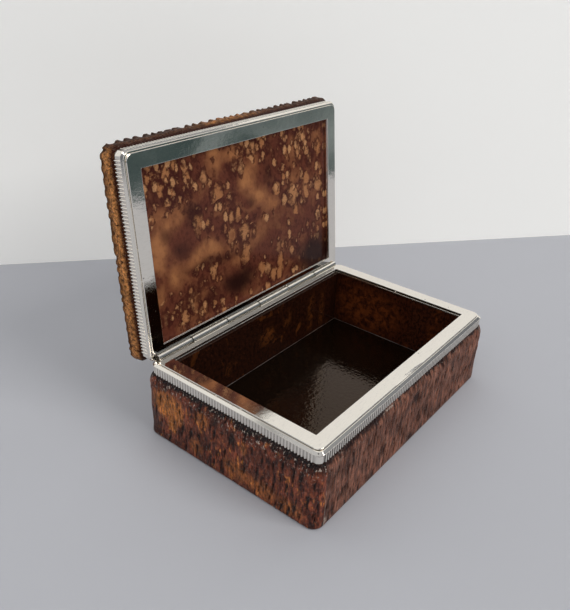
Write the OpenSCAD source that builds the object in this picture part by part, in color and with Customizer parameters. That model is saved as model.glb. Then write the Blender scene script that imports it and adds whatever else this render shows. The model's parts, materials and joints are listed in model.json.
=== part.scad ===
// Stone jewellery box with a chromed, reeded frame and a full-width pinned hinge.
// The lid stands open on its hinge stop. Millimetres, +Z up, front towards -Y.
// Origin: centre of the stone footprint, on the surface the box stands on.

/* [Stone body] */
// Width of the stone body, left to right
stone_w = 135.6; // [110:0.2:200]
// Depth of the stone body, front to back
stone_d = 89; // [70:0.5:140]
// Height from the table to the face of the rim plate
base_h = 35.5; // [22:0.5:70]
// Thickness of the four wall slabs
wall_t = 8.5; // [6:0.1:12]
// Thickness of the floor slab
floor_t = 5.5; // [3:0.1:10]
// Radius of the upright corners
corner_r = 4.6; // [3.6:0.1:8]
// Chamfer along the bottom edges
foot_chamfer = 1; // [0.3:0.1:2]
// Height of the sloping shoulder under the frame
shoulder_h = 3.5; // [1:0.1:8]
// Thickness of the cement between glued pieces
cement = 0.1; // [0.05:0.01:0.2]

/* [Lid stone] */
// Height of the lid from the face of its rim plate to its outer face
lid_h = 11; // [9.5:0.1:20]
// Height of the sloping shoulder next to the lid's frame
lid_shoulder_h = 2; // [0.5:0.1:2.5]
// Chamfer along the edges of the lid's outer face
lid_chamfer = 1; // [0.3:0.1:1.4]

/* [Frame] */
// Inset of the reeded band from the faces of the stone
band_inset = 1.4; // [0.6:0.1:1.8]
// Inset of the rim plate's edge from the reeded band
plate_inset = 1.4; // [0.6:0.1:2]
// Width of the rim plate at the front and the sides
plate_w = 6.2; // [5:0.1:9]
// Width of the frame at the back, from the band to the opening
back_rim_w = 6; // [5.2:0.1:8]
// Thickness of the rim plate
plate_t = 0.8; // [0.5:0.05:1.2]
// Radius of the rim plate's outer corners
plate_r = 3; // [1:0.1:5]
// Height from the face of the rim plate to the lower edge of the band
band_h = 5.4; // [4:0.1:7]
// Thickness of the band's flat web
web_t = 0.8; // [0.5:0.05:1.2]
// Thickness of the band's skirt behind the reeds
skirt_t = 0.9; // [0.5:0.05:1.2]
// Distance from one reed to the next
reed_pitch = 1.45; // [1.2:0.05:3]
// Depth of the grooves between the reeds
reed_depth = 0.45; // [0.2:0.05:0.6]
// Share of the pitch that the groove takes
groove_share = 0.5; // [0.3:0.05:0.7]
// Length of the nail nick in the front edge of the base's rim plate
nick_l = 24.5; // [10:0.5:40]
// Reach of the nail nick from the front edge
nick_d = 1.1; // [0.4:0.05:2]
// Depth of the nail nick at the front edge
nick_h = 0.5; // [0.2:0.05:0.7]
// Place of the nail nick, right of the middle
nick_x = -2.4; // [-20:0.1:20]
// Diameter of the weld spots between plate and band
weld_d = 1.2; // [0.6:0.1:2]
// Distance between the two outer weld spots of a side
weld_pitch = 12.5; // [6:0.5:20]

/* [Hinge] */
// Angle of the open lid, from closed
lid_open = 95.8; // [85:0.2:110]
// Angle left between the open lid and hard contact at its stop
stop_slack = 1.5; // [0.5:0.1:3]
// Gap between the two rim plates when the lid is closed
parting_gap = 0.3; // [0.2:0.05:0.6]
// Thickness of the leaves that roll into the knuckles
leaf_t = 0.45; // [0.3:0.05:0.7]
// Gap between a leaf and the band's web
leaf_gap = 0.2; // [0.1:0.05:0.4]
// Setback of the leaves from the edge of the opening
leaf_setback = 0.4; // [0.2:0.1:1]
// Length of a full knuckle
knuckle_pitch = 22; // [15:0.5:26]
// Shortest knuckle at the ends of the hinge
knuckle_min = 6; // [4:0.5:10]
// Gap between neighbouring knuckles
knuckle_gap = 0.2; // [0.1:0.05:0.5]
// Distance from the plate's side edge to the end of the hinge
hinge_end = 1.7; // [1:0.1:4]
// Gap between a leaf's own knuckles and the plate over it
plate_gap = 0.1; // [0.05:0.05:0.3]
// Depth of the slots that clear the other leaf's knuckles
slot_d = 0.6; // [0.3:0.05:0.9]
// Diameter of the hinge pin
pin_d = 1.2; // [0.8:0.1:1.5]
// Radial clearance of the pin in the knuckles
pin_fit = 0.05; // [0.02:0.01:0.1]
// Depth of the pin's ends inside the hinge
pin_recess = 2; // [0.5:0.1:4]

/* [Hidden] */
$fn = 64;

rough_brown = [0.36, 0.2, 0.12];
polished_maroon = [0.4, 0.19, 0.13];
lacquer_black = [0.1, 0.06, 0.05];
bright_chrome = [0.8, 0.82, 0.84];

// Reach of cutting solids past what they cut
past = 1;

// Stack of the frame, from the face of the rim plate down to the stone
weld_gap = leaf_t + leaf_gap;
web_top = plate_t + weld_gap;
neck_top = web_top + web_t + cement;

// Plan of the band, the neck it sits over and the plate on it
band_w = stone_w - 2 * band_inset;
band_d = stone_d - 2 * band_inset;
band_r = corner_r - band_inset;
band_t = reed_depth + skirt_t;
neck_inset = band_inset + band_t + cement;
plate_half = band_w / 2 - plate_inset;
plate_front = -band_d / 2 + plate_inset;
opening_half = plate_half - plate_w;
opening_front = plate_front + plate_w;
opening_back = band_d / 2 - back_rim_w;

// Hinge axis, set so that the two bands meet at the open stop
axis_z = base_h + parting_gap / 2;
stop_rise = parting_gap / 2 + web_top;
axis_y = band_d / 2 - stop_rise / tan((lid_open + stop_slack) / 2);
knuckle_r = parting_gap / 2 + plate_t + leaf_t;
plate_back = axis_y - knuckle_r - plate_gap;
slot_back = axis_y - knuckle_r - slot_d;

// Knuckles from left to right: the lid owns the even ones, the base the odd ones
hinge_half = plate_half - hinge_end;
half_count = floor((hinge_half - knuckle_min) / knuckle_pitch);
inner_edges = [for (i = [-half_count:half_count]) i * knuckle_pitch];
knuckle_edges = concat([-hinge_half], inner_edges, [hinge_half]);
lid_knuckles = [for (i = [0:2:len(knuckle_edges) - 2]) i];
base_knuckles = [for (i = [1:2:len(knuckle_edges) - 2]) i];

// Inner faces of the walls
cavity_half_w = stone_w / 2 - wall_t;
cavity_half_d = stone_d / 2 - wall_t;

// Mitres run from the inner corner to where the rounded outer corner begins
past_d = stone_d / 2 + past;
mitre_slope = (wall_t - corner_r) / wall_t;
mitre_end = cavity_half_w + mitre_slope * (past_d - cavity_half_d);

// Outlines

module rounded_rect(w, d, r) {
    square([w - 2 * r, d], center = true);
    square([w, d - 2 * r], center = true);
    for (x = [-1, 1], y = [-1, 1])
        translate([x * (w / 2 - r), y * (d / 2 - r)])
            circle(r);
}

module opening_outline() {
    translate([-opening_half, opening_front])
        square([2 * opening_half, opening_back - opening_front]);
}

function quarter_turn(p, k) = k == 0 ? p : quarter_turn([-p[1], p[0]], k - 1);

// Reeds along one straight side that lies across -Y: flat lands with a groove after each
function reed_run(length, reach) =
    let (count = floor(length / reed_pitch + groove_share),
        step = length / (count - groove_share))
    [for (i = [0:count - 1])
        let (start = i * step - length / 2)
        each concat(
            [[start, -reach], [start + (1 - groove_share) * step, -reach]],
            i < count - 1 ? [[start + (1 - groove_share / 2) * step, reed_depth - reach]] : [])];

// Plain facets of the band's corner at the end of that side
function corner_run(length, reach) =
    [for (a = [-60, -30]) [length / 2 + band_r * cos(a), band_r - reach + band_r * sin(a)]];

function reeded_outline() =
    [for (k = [0:3])
        let (along = k % 2 == 0 ? band_w : band_d,
            reach = (k % 2 == 0 ? band_d : band_w) / 2,
            length = along - 2 * band_r)
        for (p = concat(reed_run(length, reach), corner_run(length, reach)))
            quarter_turn(p, k)];

// Stone

// One course of the stone between two heights, with its inset at each
module stone_course(z0, z1, inset0, inset1) {
    run_w = stone_w - 2 * corner_r;
    run_d = stone_d - 2 * corner_r;
    section_d = [[-stone_d / 2 + inset0, z0], [stone_d / 2 - inset0, z0],
        [stone_d / 2 - inset1, z1], [-stone_d / 2 + inset1, z1]];
    section_w = [[-stone_w / 2 + inset0, z0], [stone_w / 2 - inset0, z0],
        [stone_w / 2 - inset1, z1], [-stone_w / 2 + inset1, z1]];
    rotate([90, 0, 90])
        linear_extrude(run_w, center = true)
            polygon(section_d);
    rotate([90, 0, 0])
        linear_extrude(run_d, center = true)
            polygon(section_w);
    for (x = [-1, 1], y = [-1, 1])
        translate([x * run_w / 2, y * run_d / 2, z0])
            cylinder(h = z1 - z0, r1 = corner_r - inset0, r2 = corner_r - inset1);
}

// Solid stone from its outer face up to the neck that the frame sits over
module stone_block(height, chamfer, slope_h) {
    seat = height - band_h - cement;
    stone_course(0, chamfer, chamfer, 0);
    stone_course(chamfer, seat - slope_h, 0, 0);
    stone_course(seat - slope_h, seat, 0, band_inset);
    stone_course(seat, height - neck_top, neck_inset, neck_inset);
}

// Upright prism over a plan, as tall as the walls
module wall_cut(plan) {
    translate([0, 0, -past])
        linear_extrude(base_h + 2 * past)
            polygon(plan);
}

module walls_stone() {
    difference() {
        stone_block(base_h, foot_chamfer, shoulder_h);
        translate([0, 0, -past])
            linear_extrude(base_h + 2 * past)
                square([2 * cavity_half_w, 2 * cavity_half_d], center = true);
    }
}

module long_wall(side) {
    inner = cavity_half_w - cement;
    outer = mitre_end - cement;
    color(rough_brown)
        intersection() {
            walls_stone();
            wall_cut([[-inner, side * cavity_half_d], [inner, side * cavity_half_d],
                [outer, side * past_d], [-outer, side * past_d]]);
        }
}

module end_wall(side) {
    far = stone_w / 2 + past;
    color(rough_brown)
        intersection() {
            walls_stone();
            wall_cut([[side * cavity_half_w, -cavity_half_d], [side * mitre_end, -past_d],
                [side * far, -past_d], [side * far, past_d],
                [side * mitre_end, past_d], [side * cavity_half_w, cavity_half_d]]);
        }
}

module floor_slab() {
    color(lacquer_black)
        translate([cement - cavity_half_w, cement - cavity_half_d, 0])
            cube([2 * (cavity_half_w - cement), 2 * (cavity_half_d - cement), floor_t]);
}

module lid_slab() {
    color(polished_maroon)
        on_lid()
            translate([0, 0, base_h - lid_h])
                stone_block(lid_h, lid_chamfer, lid_shoulder_h);
}

// Frame

// Turns a piece of the base frame into its twin on the open lid
module on_lid() {
    translate([0, axis_y, axis_z])
        rotate([-lid_open, 0, 0])
            mirror([0, 0, 1])
                translate([0, -axis_y, -axis_z])
                    children();
}

// Flat web with the reeded skirt hanging from it
module reeded_band() {
    color(bright_chrome)
        translate([0, 0, base_h - web_top - web_t]) {
            linear_extrude(web_t)
                difference() {
                    rounded_rect(band_w, band_d, band_r);
                    opening_outline();
                }
            mirror([0, 0, 1])
                linear_extrude(band_h - web_top - web_t)
                    difference() {
                        polygon(reeded_outline());
                        rounded_rect(band_w - 2 * band_t, band_d - 2 * band_t, band_r - band_t);
                    }
        }
}

// Flat plate around the opening, with slots for the other leaf's knuckles
module rim_plate(other_knuckles) {
    depth = plate_back - plate_front;
    color(bright_chrome)
        translate([0, 0, base_h - plate_t])
            linear_extrude(plate_t)
                difference() {
                    translate([0, plate_front + depth / 2])
                        rounded_rect(2 * plate_half, depth, plate_r);
                    opening_outline();
                    for (i = other_knuckles)
                        translate([knuckle_edges[i], slot_back])
                            square([knuckle_edges[i + 1] - knuckle_edges[i], plate_back - slot_back + past]);
                }
}

// Round cutter that leaves a lens-shaped bevel on the plate's front edge
module nail_nick() {
    slope = atan2(nick_h, nick_d);
    sagitta = nick_d * sin(slope);
    cutter_r = (nick_l * nick_l / 4 + sagitta * sagitta) / (2 * sagitta);
    translate([nick_x, plate_front + nick_d, base_h])
        rotate([slope, 0, 0])
            translate([0, 0, cutter_r])
                rotate([90, 0, 0])
                    cylinder(h = 4 * nick_d, r = cutter_r, center = true, $fn = 512);
}

module base_rim_plate() {
    color(bright_chrome)
        difference() {
            rim_plate(lid_knuckles);
            nail_nick();
        }
}

// Spots between plate and web: two at the outer edge of each side, one at the inner edge
module weld_spots() {
    outer_x = plate_half - weld_d / 2;
    inner_x = opening_half + weld_d / 2;
    middle = (opening_front + opening_back) / 2;
    spots = [[outer_x, -weld_pitch / 2], [outer_x, weld_pitch / 2], [inner_x, 0]];
    color(bright_chrome)
        for (side = [-1, 1], spot = spots)
            translate([side * spot[0], middle + spot[1], base_h - web_top])
                cylinder(h = weld_gap, d = weld_d);
}

// Hinge

module along_axis(from, to, r) {
    translate([from, axis_y, axis_z])
        rotate([0, 90, 0])
            cylinder(h = to - from, r = r);
}

// Sheet leaf under the plate, rolled into its own knuckles at the back
module hinge_leaf(own_knuckles) {
    leaf_front = opening_back + leaf_setback;
    color(bright_chrome)
        difference() {
            union() {
                translate([-hinge_half, leaf_front, axis_z - knuckle_r])
                    cube([2 * hinge_half, slot_back - leaf_front, leaf_t]);
                for (i = own_knuckles) {
                    from = knuckle_edges[i] + knuckle_gap / 2;
                    to = knuckle_edges[i + 1] - knuckle_gap / 2;
                    translate([from, leaf_front, axis_z - knuckle_r])
                        cube([to - from, axis_y - leaf_front, leaf_t]);
                    along_axis(from, to, knuckle_r);
                }
            }
            along_axis(-hinge_half - past, hinge_half + past, pin_d / 2 + pin_fit);
        }
}

module hinge_pin() {
    color(bright_chrome)
        along_axis(pin_recess - hinge_half, hinge_half - pin_recess, pin_d / 2);
}

module lid_reeded_band() {
    on_lid()
        reeded_band();
}

module lid_rim_plate() {
    on_lid()
        rim_plate(base_knuckles);
}

module lid_weld_spots() {
    on_lid()
        weld_spots();
}

module lid_hinge_leaf() {
    on_lid()
        hinge_leaf(lid_knuckles);
}

long_wall(-1);  // front_wall
long_wall(1);  // back_wall
end_wall(-1);  // left_wall
end_wall(1);  // right_wall
floor_slab();
reeded_band();  // base_reeded_band
base_rim_plate();
weld_spots();  // base_weld_spots
hinge_leaf(base_knuckles);  // base_hinge_leaf
hinge_pin();
lid_slab();
lid_reeded_band();
lid_rim_plate();
lid_weld_spots();
lid_hinge_leaf();
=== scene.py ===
"""Looks of the stone jewellery box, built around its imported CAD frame.

Meshes are worked out in millimetres in the frame of the part. Lid pieces are built as twins on the base,
then mirrored about the parting plane and swung open.
"""

import json
import logging
import math
from dataclasses import dataclass, field
from enum import Enum
from typing import Any, Optional, Sequence

import bmesh
import bpy
import numpy as np
from mathutils import Matrix, Vector


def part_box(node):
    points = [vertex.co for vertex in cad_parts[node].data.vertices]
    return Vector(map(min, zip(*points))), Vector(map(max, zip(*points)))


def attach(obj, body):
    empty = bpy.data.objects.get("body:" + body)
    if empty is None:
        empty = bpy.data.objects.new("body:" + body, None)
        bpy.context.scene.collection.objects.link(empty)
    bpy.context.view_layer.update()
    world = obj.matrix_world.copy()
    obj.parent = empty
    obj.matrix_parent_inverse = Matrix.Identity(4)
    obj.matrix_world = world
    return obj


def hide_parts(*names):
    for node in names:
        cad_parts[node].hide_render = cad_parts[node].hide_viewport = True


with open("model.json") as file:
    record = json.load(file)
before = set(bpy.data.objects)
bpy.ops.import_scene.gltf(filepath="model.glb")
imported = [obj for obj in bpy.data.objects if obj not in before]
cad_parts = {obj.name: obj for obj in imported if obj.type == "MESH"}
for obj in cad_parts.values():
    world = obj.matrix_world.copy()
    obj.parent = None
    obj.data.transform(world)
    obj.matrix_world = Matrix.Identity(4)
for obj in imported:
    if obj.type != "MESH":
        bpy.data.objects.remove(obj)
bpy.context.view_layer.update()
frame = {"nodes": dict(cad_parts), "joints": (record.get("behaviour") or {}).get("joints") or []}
MM = 0.001
NEARLY_ONE = 0.9999
log = logging.getLogger("stone_box")

Colour = tuple[float, float, float]
Point = tuple[float, float]
Outline = list[tuple[np.ndarray, np.ndarray]]


class Body(Enum):
    """Bodies of the part."""

    BASE = "base"
    LID = "lid"


class Slot(Enum):
    """Material slots of the record."""

    WALL = "wall_stone"
    FLOOR = "floor_stone"
    LID = "lid_stone"
    FRAME = "frame_chrome"
    HINGE = "hinge_chrome"
    PIN = "pin_steel"


class Side(Enum):
    """Sides of the box, in the order that the walls run round it."""

    FRONT = "front_wall"
    RIGHT = "right_wall"
    BACK = "back_wall"
    LEFT = "left_wall"

    @property
    def number(self) -> int:
        """Place of the side in that order, from 0."""
        return list(Side).index(self)


def rgba(colour: Colour) -> tuple[float, float, float, float]:
    """Gives a colour its alpha."""
    return (*colour, 1.0)


# Sizes


@dataclass(frozen=True)
class BoxSizes:
    """Real sizes of the box in millimetres, from the frame where it gives them."""

    half_w: float
    half_d: float
    rim_z: float
    neck_z: float
    band_half_w: float
    band_half_d: float
    band_low: float
    web_z: float
    plate_half_w: float
    plate_front: float
    plate_back: float
    axis_y: float
    axis_z: float
    open_deg: float
    wall_t: float = 8.5
    corner_r: float = 4.6
    band_inset: float = 1.4
    shoulder_h: float = 3.5
    lid_shoulder_h: float = 2.0
    lid_h: float = 11.0
    cement: float = 0.1
    plate_w: float = 6.2
    plate_r: float = 3.0
    back_rim_w: float = 6.0
    web_t: float = 0.8
    skirt_t: float = 0.9
    reed_depth: float = 0.45
    reed_pitch: float = 1.45
    leaf_t: float = 0.45
    knuckle_r: float = 1.4
    knuckle_pitch: float = 22.0
    knuckle_gap: float = 0.2
    hinge_end: float = 1.7
    slot_d: float = 0.6
    leaf_setback: float = 0.4

    @classmethod
    def from_frame(cls) -> "BoxSizes":
        """Reads the boxes of the CAD nodes and the hinge.

        Returns:
            The sizes of this box.
        """
        left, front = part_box("left_wall"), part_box("front_wall")
        band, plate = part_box("base_reeded_band"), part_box("base_rim_plate")
        hinge = frame["joints"][0]
        return cls(
            half_w=-left[0].x / MM, half_d=-front[0].y / MM, rim_z=plate[1].z / MM, neck_z=front[1].z / MM,
            band_half_w=band[1].x / MM, band_half_d=band[1].y / MM,
            band_low=band[0].z / MM, web_z=band[1].z / MM,
            plate_half_w=plate[1].x / MM, plate_front=plate[0].y / MM, plate_back=plate[1].y / MM,
            axis_y=hinge["pos_m"][1] / MM, axis_z=hinge["pos_m"][2] / MM, open_deg=max(hinge["range_deg"]))

    @property
    def seat_z(self) -> float:
        """Height of the stone's shoulder under the band."""
        return self.band_low - self.cement

    @property
    def neck_inset(self) -> float:
        """Inset of the neck that the band sits over."""
        return self.band_inset + self.reed_depth + self.skirt_t + self.cement

    @property
    def cavity(self) -> Point:
        """Half width and half depth of the compartment."""
        return self.half_w - self.wall_t, self.half_d - self.wall_t

    @property
    def opening(self) -> tuple[float, float, float]:
        """Half width, front and back of the opening in the frame."""
        return (self.plate_half_w - self.plate_w, self.plate_front + self.plate_w,
                self.band_half_d - self.back_rim_w)

    @property
    def opening_corners(self) -> list[Point]:
        """Corners of the opening in the frame, anticlockwise from the front left."""
        half, front, back = self.opening
        return [(-half, front), (half, front), (half, back), (-half, back)]

    @property
    def slot_back(self) -> float:
        """Depth of the slots that clear the other leaf's knuckles."""
        return self.axis_y - self.knuckle_r - self.slot_d

    @property
    def knuckle_edges(self) -> list[float]:
        """Ends of the knuckles from left to right."""
        half = self.plate_half_w - self.hinge_end
        inner = [i * self.knuckle_pitch for i in range(-2, 3)]
        return [-half, *inner, half]

    @property
    def lid_knuckles(self) -> range:
        """Numbers of the knuckles that belong to the lid's leaf, from left to right."""
        return range(0, len(self.knuckle_edges) - 1, 2)

    @property
    def base_knuckles(self) -> range:
        """Numbers of the knuckles that belong to the base's leaf, from left to right."""
        return range(1, len(self.knuckle_edges) - 1, 2)

    def on_lid(self) -> Matrix:
        """Works out the move that turns a piece of the base into its twin on the open lid.

        Returns:
            The matrix, in millimetres.
        """
        axis = Matrix.Translation((0.0, self.axis_y, self.axis_z))
        swing = Matrix.Rotation(-math.radians(self.open_deg), 4, "X")
        flip = Matrix.Diagonal((1.0, 1.0, -1.0, 1.0))
        return axis @ swing @ flip @ axis.inverted()


# Noise and meshes


@dataclass(frozen=True)
class Cuts:
    """Staggered rows of short upright chisel cuts, in millimetres."""

    pitch: float
    row: float
    width: float
    length: float
    share: float = 0.8


class Grain:
    """Seeded height fields and masks over a stone face, in millimetres."""

    steps = 256

    def __init__(self, seed: int) -> None:
        """Draws the lattice of the noise."""
        self.lattice = np.random.default_rng(seed).uniform(-1.0, 1.0, (self.steps, self.steps))

    def pick(self, i: np.ndarray, j: np.ndarray) -> np.ndarray:
        """Gives the lattice value at whole steps."""
        return self.lattice[i.astype(int) % self.steps, j.astype(int) % self.steps]

    def smooth(self, u: np.ndarray, v: np.ndarray) -> np.ndarray:
        """Gives smooth noise between -1 and 1.

        Args:
            u: First coordinate, one lattice step per unit.
            v: Second coordinate.

        Returns:
            The noise at each point.
        """
        i, j = np.floor(u), np.floor(v)
        a, b = u - i, v - j
        a, b = a * a * (3 - 2 * a), b * b * (3 - 2 * b)
        low = self.pick(i, j) * (1 - a) + self.pick(i + 1, j) * a
        high = self.pick(i, j + 1) * (1 - a) + self.pick(i + 1, j + 1) * a
        return low * (1 - b) + high * b

    def cloud(self, u: np.ndarray, v: np.ndarray, octaves: int = 4) -> np.ndarray:
        """Adds octaves of smooth noise, each half as large and half as strong."""
        parts = (self.smooth(u * 2 ** k + 17 * k, v * 2 ** k + 31 * k) / 2 ** k for k in range(octaves))
        return sum(parts) / 1.6

    def gouges(self, u: np.ndarray, v: np.ndarray, cuts: Cuts) -> np.ndarray:
        """Marks short upright chisel cuts in staggered rows.

        Args:
            u: Place along the slab.
            v: Place across the rows.
            cuts: Spacing and size of the cuts, and the share of the places that hold one.

        Returns:
            The mask, from 0 beside the cuts to 1 at their middle.
        """
        mask = np.zeros_like(u)
        line = np.floor(v / cuts.row)
        for dj in (-1, 0, 1):
            j = line + dj
            shift = 0.5 * np.mod(j, 2) + 0.2 * self.pick(j, j * 0 + 3)
            cell = np.floor(u / cuts.pitch - shift)
            for di in (-1, 0, 1):
                i = cell + di
                middle_u = (i + 0.5 + shift + 0.22 * self.pick(i, j)) * cuts.pitch
                middle_v = (j + 0.5 + 0.3 * self.pick(i + 91, j)) * cuts.row
                wide = cuts.width / 2 * (1.0 + 0.45 * self.pick(i + 37, j))
                tall = cuts.length / 2 * (1.0 + 0.5 * self.pick(i, j + 53))
                rise = (v - middle_v) / tall
                run = (u - middle_u - 0.12 * (v - middle_v)) / (wide * (1.0 + 0.35 * rise))
                reach = run ** 2 + rise ** 2
                held = self.pick(i + 11, j + 7) < 2 * cuts.share - 1
                mask = np.maximum(mask, np.where(held, np.clip(1.25 * (1 - reach), 0, 1), 0))
        return mask


def fade(value: np.ndarray, low: float, high: float) -> np.ndarray:
    """Steps smoothly from 0 at low to 1 at high."""
    t = np.clip((value - low) / (high - low), 0, 1)
    return t * t * (3 - 2 * t)


def soften(mask: np.ndarray, passes: int) -> np.ndarray:
    """Evens a mask out with its neighbours, more with each pass.

    Args:
        mask: Values on a grid.
        passes: How often they are evened out.

    Returns:
        The softer mask.
    """
    for _ in range(passes):
        wide = np.pad(mask, 1, mode="edge")
        mask = (wide[:-2, 1:-1] + wide[2:, 1:-1] + wide[1:-1, :-2] + wide[1:-1, 2:] + mask) / 5
    return mask


def border(rows: np.ndarray) -> np.ndarray:
    """Gives the outer point indices of a grid, anticlockwise from its first point."""
    return np.concatenate([rows[0, :-1], rows[:-1, -1], rows[-1, :0:-1], rows[:0:-1, 0]])


def grid_points(u: np.ndarray, v: np.ndarray, w: Any) -> np.ndarray:
    """Gives the points of a grid, one per row; the third coordinate may be one number for all."""
    return np.stack(np.broadcast_arrays(u, v, w), -1).reshape(-1, 3)


@dataclass(frozen=True)
class Patch:
    """Soft spot on a slab, in millimetres along and up it."""

    u: float
    v: float
    half_u: float
    half_v: float
    strength: float = 1.0

    def mask(self, u: np.ndarray, v: np.ndarray) -> np.ndarray:
        """Gives the spot's strength at each point."""
        reach = ((u - self.u) / self.half_u) ** 2 + ((v - self.v) / self.half_v) ** 2
        return self.strength * fade(-np.sqrt(reach), -1.25, -0.45)


def patches(spots: Sequence[Patch], u: np.ndarray, v: np.ndarray) -> np.ndarray:
    """Joins soft spots into one mask.

    Args:
        spots: The spots, which may overlap.
        u: Place along the slab.
        v: Place up the slab.

    Returns:
        The strength of the strongest spot at each point.
    """
    mask = np.zeros_like(u)
    for spot in spots:
        mask = np.maximum(mask, spot.mask(u, v))
    return mask


class MeshDraft:
    """Collects points, faces and attributes of one piece, in millimetres."""

    def __init__(self) -> None:
        """Starts empty."""
        self.points: list[np.ndarray] = []
        self.count = 0
        self.faces: list[tuple[int, ...]] = []
        self.slots: list[int] = []
        self.masks: dict[str, list[np.ndarray]] = {}

    def add(self, points: np.ndarray, **masks: np.ndarray) -> np.ndarray:
        """Adds points with their masks.

        Args:
            points: Points in millimetres, one per row.
            masks: Attribute values, one per point.

        Returns:
            The indices of the points.
        """
        first = self.count
        self.points.append(np.asarray(points, float).reshape(-1, 3))
        fresh = len(self.points[-1])
        for name, values in masks.items():
            kept = self.masks.setdefault(name, [])
            width = np.asarray(values, float).reshape(fresh, -1).shape[1]
            missing = first - sum(len(v) for v in kept)
            if missing:
                kept.append(np.zeros((missing, width)))
            kept.append(np.asarray(values, float).reshape(fresh, width))
        self.count += fresh
        return np.arange(first, self.count)

    def face(self, corners: Sequence[int], slot: int = 0) -> None:
        """Adds one face."""
        self.faces.append(tuple(int(c) for c in corners))
        self.slots.append(slot)

    def strip(self, low: np.ndarray, high: np.ndarray, slot: int = 0, closed: bool = False) -> None:
        """Joins two rows of point indices by quads.

        Args:
            low: First row.
            high: Second row, as long as the first.
            slot: Material slot of the faces.
            closed: Whether the rows close on themselves.
        """
        n = len(low)
        for i in range(n if closed else n - 1):
            k = (i + 1) % n
            self.face((low[i], low[k], high[k], high[i]), slot)

    def grid(self, indices: np.ndarray, slot: int = 0, closed: bool = False) -> None:
        """Joins rows of point indices by quads."""
        for low, high in zip(indices[:-1], indices[1:]):
            self.strip(low, high, slot, closed)

    def mesh(self, name: str) -> bpy.types.Mesh:
        """Makes the plain mesh with its attributes, still in millimetres.

        Args:
            name: Name of the mesh.

        Returns:
            The new mesh.
        """
        mesh = bpy.data.meshes.new(name)
        mesh.from_pydata(np.concatenate(self.points).tolist(), [], self.faces)
        for attribute, parts in self.masks.items():
            values = np.concatenate(parts)
            values = np.vstack([values, np.zeros((self.count - len(values), values.shape[1]))])
            wide = values.shape[1] == 3
            layer = mesh.attributes.new(attribute, "FLOAT_VECTOR" if wide else "FLOAT", "POINT")
            layer.data.foreach_set("vector" if wide else "value", values.astype(np.float32).ravel())
        return mesh

    def build(self, name: str, materials: Sequence[bpy.types.Material], sharp_deg: float = 40.0,
              place: Optional[Matrix] = None) -> bpy.types.Object:
        """Makes the Blender object.

        Args:
            name: Name of the piece.
            materials: Materials in the order of the face slots.
            sharp_deg: Angle over which edges stay sharp.
            place: Matrix in millimetres that moves the mesh to its place.

        Returns:
            The new object, at the origin.
        """
        mesh = self.mesh(name)
        for material in materials:
            mesh.materials.append(material)
        mesh.polygons.foreach_set("material_index", np.array(self.slots, np.int32))
        return finish_mesh(name, mesh, sharp_deg, place)


def put_in_scene(name: str, data: bpy.types.ID) -> bpy.types.Object:
    """Links a mesh, curve, lamp or camera to the scene.

    Args:
        name: Name of the object.
        data: What the object shows.

    Returns:
        The new object, at the origin.
    """
    made = bpy.data.objects.new(name, data)
    bpy.context.scene.collection.objects.link(made)
    return made


def plain_mesh(carrier: bpy.types.Object, keep_layers: bool = False) -> bpy.types.Mesh:
    """Gives the evaluated shape of an object as a plain mesh, with all its attributes where asked."""
    depsgraph = bpy.context.evaluated_depsgraph_get()
    return bpy.data.meshes.new_from_object(carrier.evaluated_get(depsgraph), depsgraph=depsgraph,
                                           preserve_all_data_layers=keep_layers)


def finish_mesh(name: str, mesh: bpy.types.Mesh, sharp_deg: float, place: Optional[Matrix],
                level: bool = False) -> bpy.types.Object:
    """Puts a mesh in millimetres in its place, in metres, and shades it.

    Args:
        name: Name of the piece.
        mesh: The mesh, which is changed.
        sharp_deg: Angle over which edges stay sharp.
        place: Matrix in millimetres, or None where the mesh already lies right.
        level: Whether faces that lie level before the move are shaded flat.

    Returns:
        The new object, at the origin.
    """
    mesh.validate()
    curved = [not level or abs(face.normal.z) < NEARLY_ONE for face in mesh.polygons]
    if place is not None:
        mesh.transform(place)
        if place.determinant() < 0:
            mesh.flip_normals()
    mesh.transform(Matrix.Scale(MM, 4))
    mesh.set_sharp_from_angle(angle=math.radians(sharp_deg))
    mesh.polygons.foreach_set("use_smooth", curved)
    return put_in_scene(name, mesh)


def hand_over(piece: bpy.types.Object, body: Body, slot: Slot, *nodes: str) -> None:
    """Rides a piece on its body and hides the CAD nodes it stands for.

    Args:
        piece: The finished piece.
        body: Body that it moves with.
        slot: Material slot that its finish belongs to; not used.
        nodes: CAD nodes that it stands for.
    """
    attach(piece, body.value)
    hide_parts(*nodes)
    log.info("%s: %d faces, for %s", piece.name, len(piece.data.polygons), ", ".join(nodes))


def rounded_path(half_w: float, half_d: float, radius: float, steps: int) -> Outline:
    """Gives the corner points of a rounded rectangle, anticlockwise from the front left.

    Args:
        half_w: Half of its width.
        half_d: Half of its depth.
        radius: Radius of the corners.
        steps: Steps in each corner.

    Returns:
        Points with their outward normals.
    """
    path = []
    for turn, (x, y) in zip((180, 270, 0, 90), ((-1, -1), (1, -1), (1, 1), (-1, 1))):
        centre = np.array([x * (half_w - radius), y * (half_d - radius)])
        for k in range(steps + 1):
            angle = math.radians(turn + 90 * k / steps)
            normal = np.array([math.cos(angle), math.sin(angle)])
            path.append((centre + radius * normal, normal))
    return path


# Shader and geometry node helpers


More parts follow.
